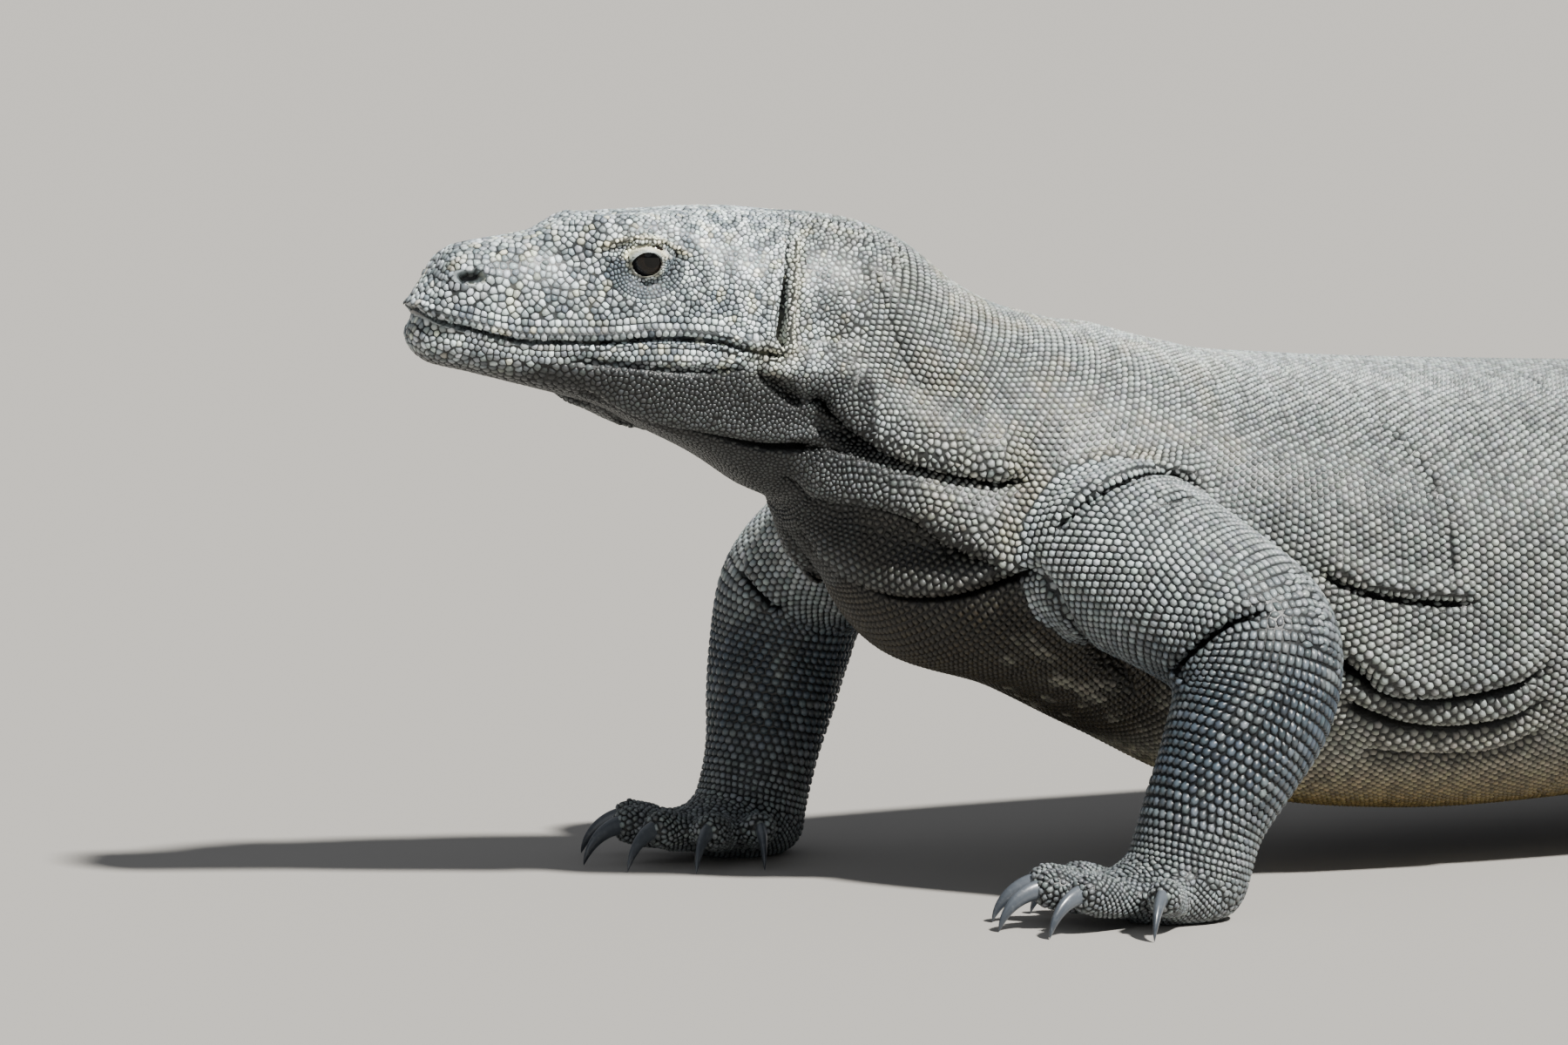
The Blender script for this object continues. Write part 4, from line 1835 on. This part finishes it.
@dataclass
class Claw:
    """A hooked claw that leaves its toe and curls down to the floor."""

    leg: Leg
    toe: int
    length: float = 0.034
    root_depth: float = 0.007
    half_height: float = 0.0064
    half_width: float = 0.0042
    tilt: float = radians(8)
    curl: float = radians(70)
    rings: int = 28
    around: int = 20

    def build(self, material: bpy.types.Material) -> None:
        """Build and dress the claw."""
        rows, ahead = self.leg.toe_line(self.toe)
        scale = self.leg.toes[self.toe][2] / 0.0115
        root = rows[-1, 1:4]
        side = np.array([-ahead[1], ahead[0], 0.0])
        place = root - ahead * self.root_depth
        run = (self.length * scale + self.root_depth) / self.rings
        grid, shares = [], np.linspace(0.0, 1.0, self.rings + 1)
        turn = np.linspace(0, 2 * pi, self.around, endpoint=False)
        for u in shares:
            tilt = self.tilt + self.curl * u ** 0.85
            axis = ahead * cos(tilt) - np.array([0.0, 0.0, sin(tilt)])
            up = ahead * sin(tilt) + np.array([0.0, 0.0, cos(tilt)])
            taper = (1.0 - u) ** 0.75 * 0.92 + 0.08 * (1.0 - u ** 6)
            tall, wide = self.half_height * scale * taper, self.half_width * scale * taper
            keel = np.where(np.cos(turn) < 0, 0.86, 1.0)
            rise, reach = tall * np.cos(turn) * keel, wide * np.sin(turn)
            grid.append(place + up * rise[:, None] + side * reach[:, None])
            place = place + axis * run
        grid = np.array(grid)
        lowest = grid[..., 2].min()
        grid[..., 2] -= lowest * shares[:, None]
        name = f"{self.leg.limb.value}_{self.leg.side.label}_{self.toe + 1}"
        faces = loft_faces(self.rings + 1, self.around)
        piece = new_piece(f"horn_{name}", grid.reshape(-1, 3), [face[::-1] for face in faces])
        dye(piece, np.tile([0.05, 0.06, 0.07], (grid.size // 3, 1)), np.repeat(shares, self.around))
        paint(piece, material)
        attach(piece, "root")
        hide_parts(f"claw_{name}")
        log.info("%s: built", piece.name)


def horn() -> bpy.types.Material:
    """Return the claws' dark, glossy horn."""
    shader = Shader("horn")
    rim = Value(shader, shader.attribute("rim", "Fac"))
    streak = shader.noise(420.0, 3.0)
    colour = shader.blend(shader.ramp(rim, 0.1, 0.9), (0.085, 0.098, 0.115, 1), (0.026, 0.033, 0.043, 1))
    colour = shader.blend(shader.ramp(streak, 0.5, 0.8) * 0.35, colour, (0.16, 0.175, 0.19, 1))
    shader.set(Base_Color=colour, Roughness=streak * 0.2 + 0.22, Coat_Weight=0.4, Coat_Roughness=0.2,
               Normal=shader.bump(streak, 0.2, 0.0004))
    return shader.material


# ---------------------------------------------------------------- floor, light and camera


class Stage:
    """The pale floor, the soft lights and the camera."""

    azimuth = radians(-30)
    elevation = radians(5)
    distance = 4.8
    target = (-0.04, -0.02, 0.2045)
    lens = 205.6

    def __init__(self, shift: Array) -> None:
        """Set everything up."""
        self.aim = np.array(self.target) + shift * (1, 1, 0)
        self.floor()
        self.lights()
        self.camera()

    def floor(self) -> None:
        """Lay a large plain floor."""
        bpy.ops.mesh.primitive_plane_add(size=60.0, location=(0.0, 0.0, -0.0002))
        floor = bpy.context.object
        floor.name = "floor"
        shader = Shader("floor")
        shader.set(Base_Color=(0.36, 0.345, 0.32, 1), Roughness=0.9)
        paint(floor, shader.material)

    def lights(self) -> None:
        """Hang a soft key light high in front, and a fill."""
        world = bpy.data.worlds.new("studio")
        bpy.context.scene.world = world
        world.use_nodes = True
        world.node_tree.nodes["Background"].inputs["Color"].default_value = (0.90, 0.93, 1.0, 1)
        world.node_tree.nodes["Background"].inputs["Strength"].default_value = 0.27
        for name, away, angle, power, colour in (
            ("key", (0.22, -0.82, 1.0), radians(4), 9.2, (1.0, 0.98, 0.94)),
            ("fill", (-0.8, -0.9, 0.5), radians(40), 0.22, (0.92, 0.96, 1.0)),
        ):
            bpy.ops.object.light_add(type="SUN", location=(self.aim + 4.0 * np.array(away)).tolist())
            light = bpy.context.object
            light.name = name
            light.data.angle = angle
            light.data.energy = power
            light.data.color = colour
            light.rotation_euler = Vector(away).to_track_quat("Z", "Y").to_euler()

    def camera(self) -> None:
        """Set the camera."""
        out = cos(self.elevation)
        back = np.array([sin(self.azimuth) * out, -cos(self.azimuth) * out, sin(self.elevation)])
        place = Vector((self.aim + back * self.distance).tolist())
        bpy.ops.object.camera_add(location=place)
        camera = bpy.context.object
        camera.data.lens = self.lens
        camera.data.sensor_width = 36.0
        camera.rotation_euler = Vector(back.tolist()).to_track_quat("Z", "Y").to_euler()
        bpy.context.scene.camera = camera


# ---------------------------------------------------------------- the animal


def main() -> None:
    """Build the skin, the scales, the eyes and the claws, light them and note the size."""
    logging.basicConfig(level=logging.INFO, format="%(message)s")
    head = Head()
    head.find_in_frame()
    body = Body(head).form()
    legs = make_legs(head.shift)
    charts = make_charts(body, legs)
    skin = Skin(head, body, legs, charts)
    coat = Coat(skin, charts)
    markings = Markings(head)
    hide = Finish("hide", roughness=0.28, grain=260.0, relief=0.0004, coat=0.35).make()
    skin.dress(coat, markings, hide)
    seeds = coat.grow()
    maker = ScaleMaker(coat, seeds, markings)
    for region in coat_regions(seeds, skin):
        maker.cover(region, hide)
    for side in Side:
        Eye(side, head)
    material = horn()
    for leg in legs:
        for toe in range(len(leg.toes)):
            Claw(leg, toe).build(material)
    Stage(head.shift)


if __name__ == "__main__":
    main()
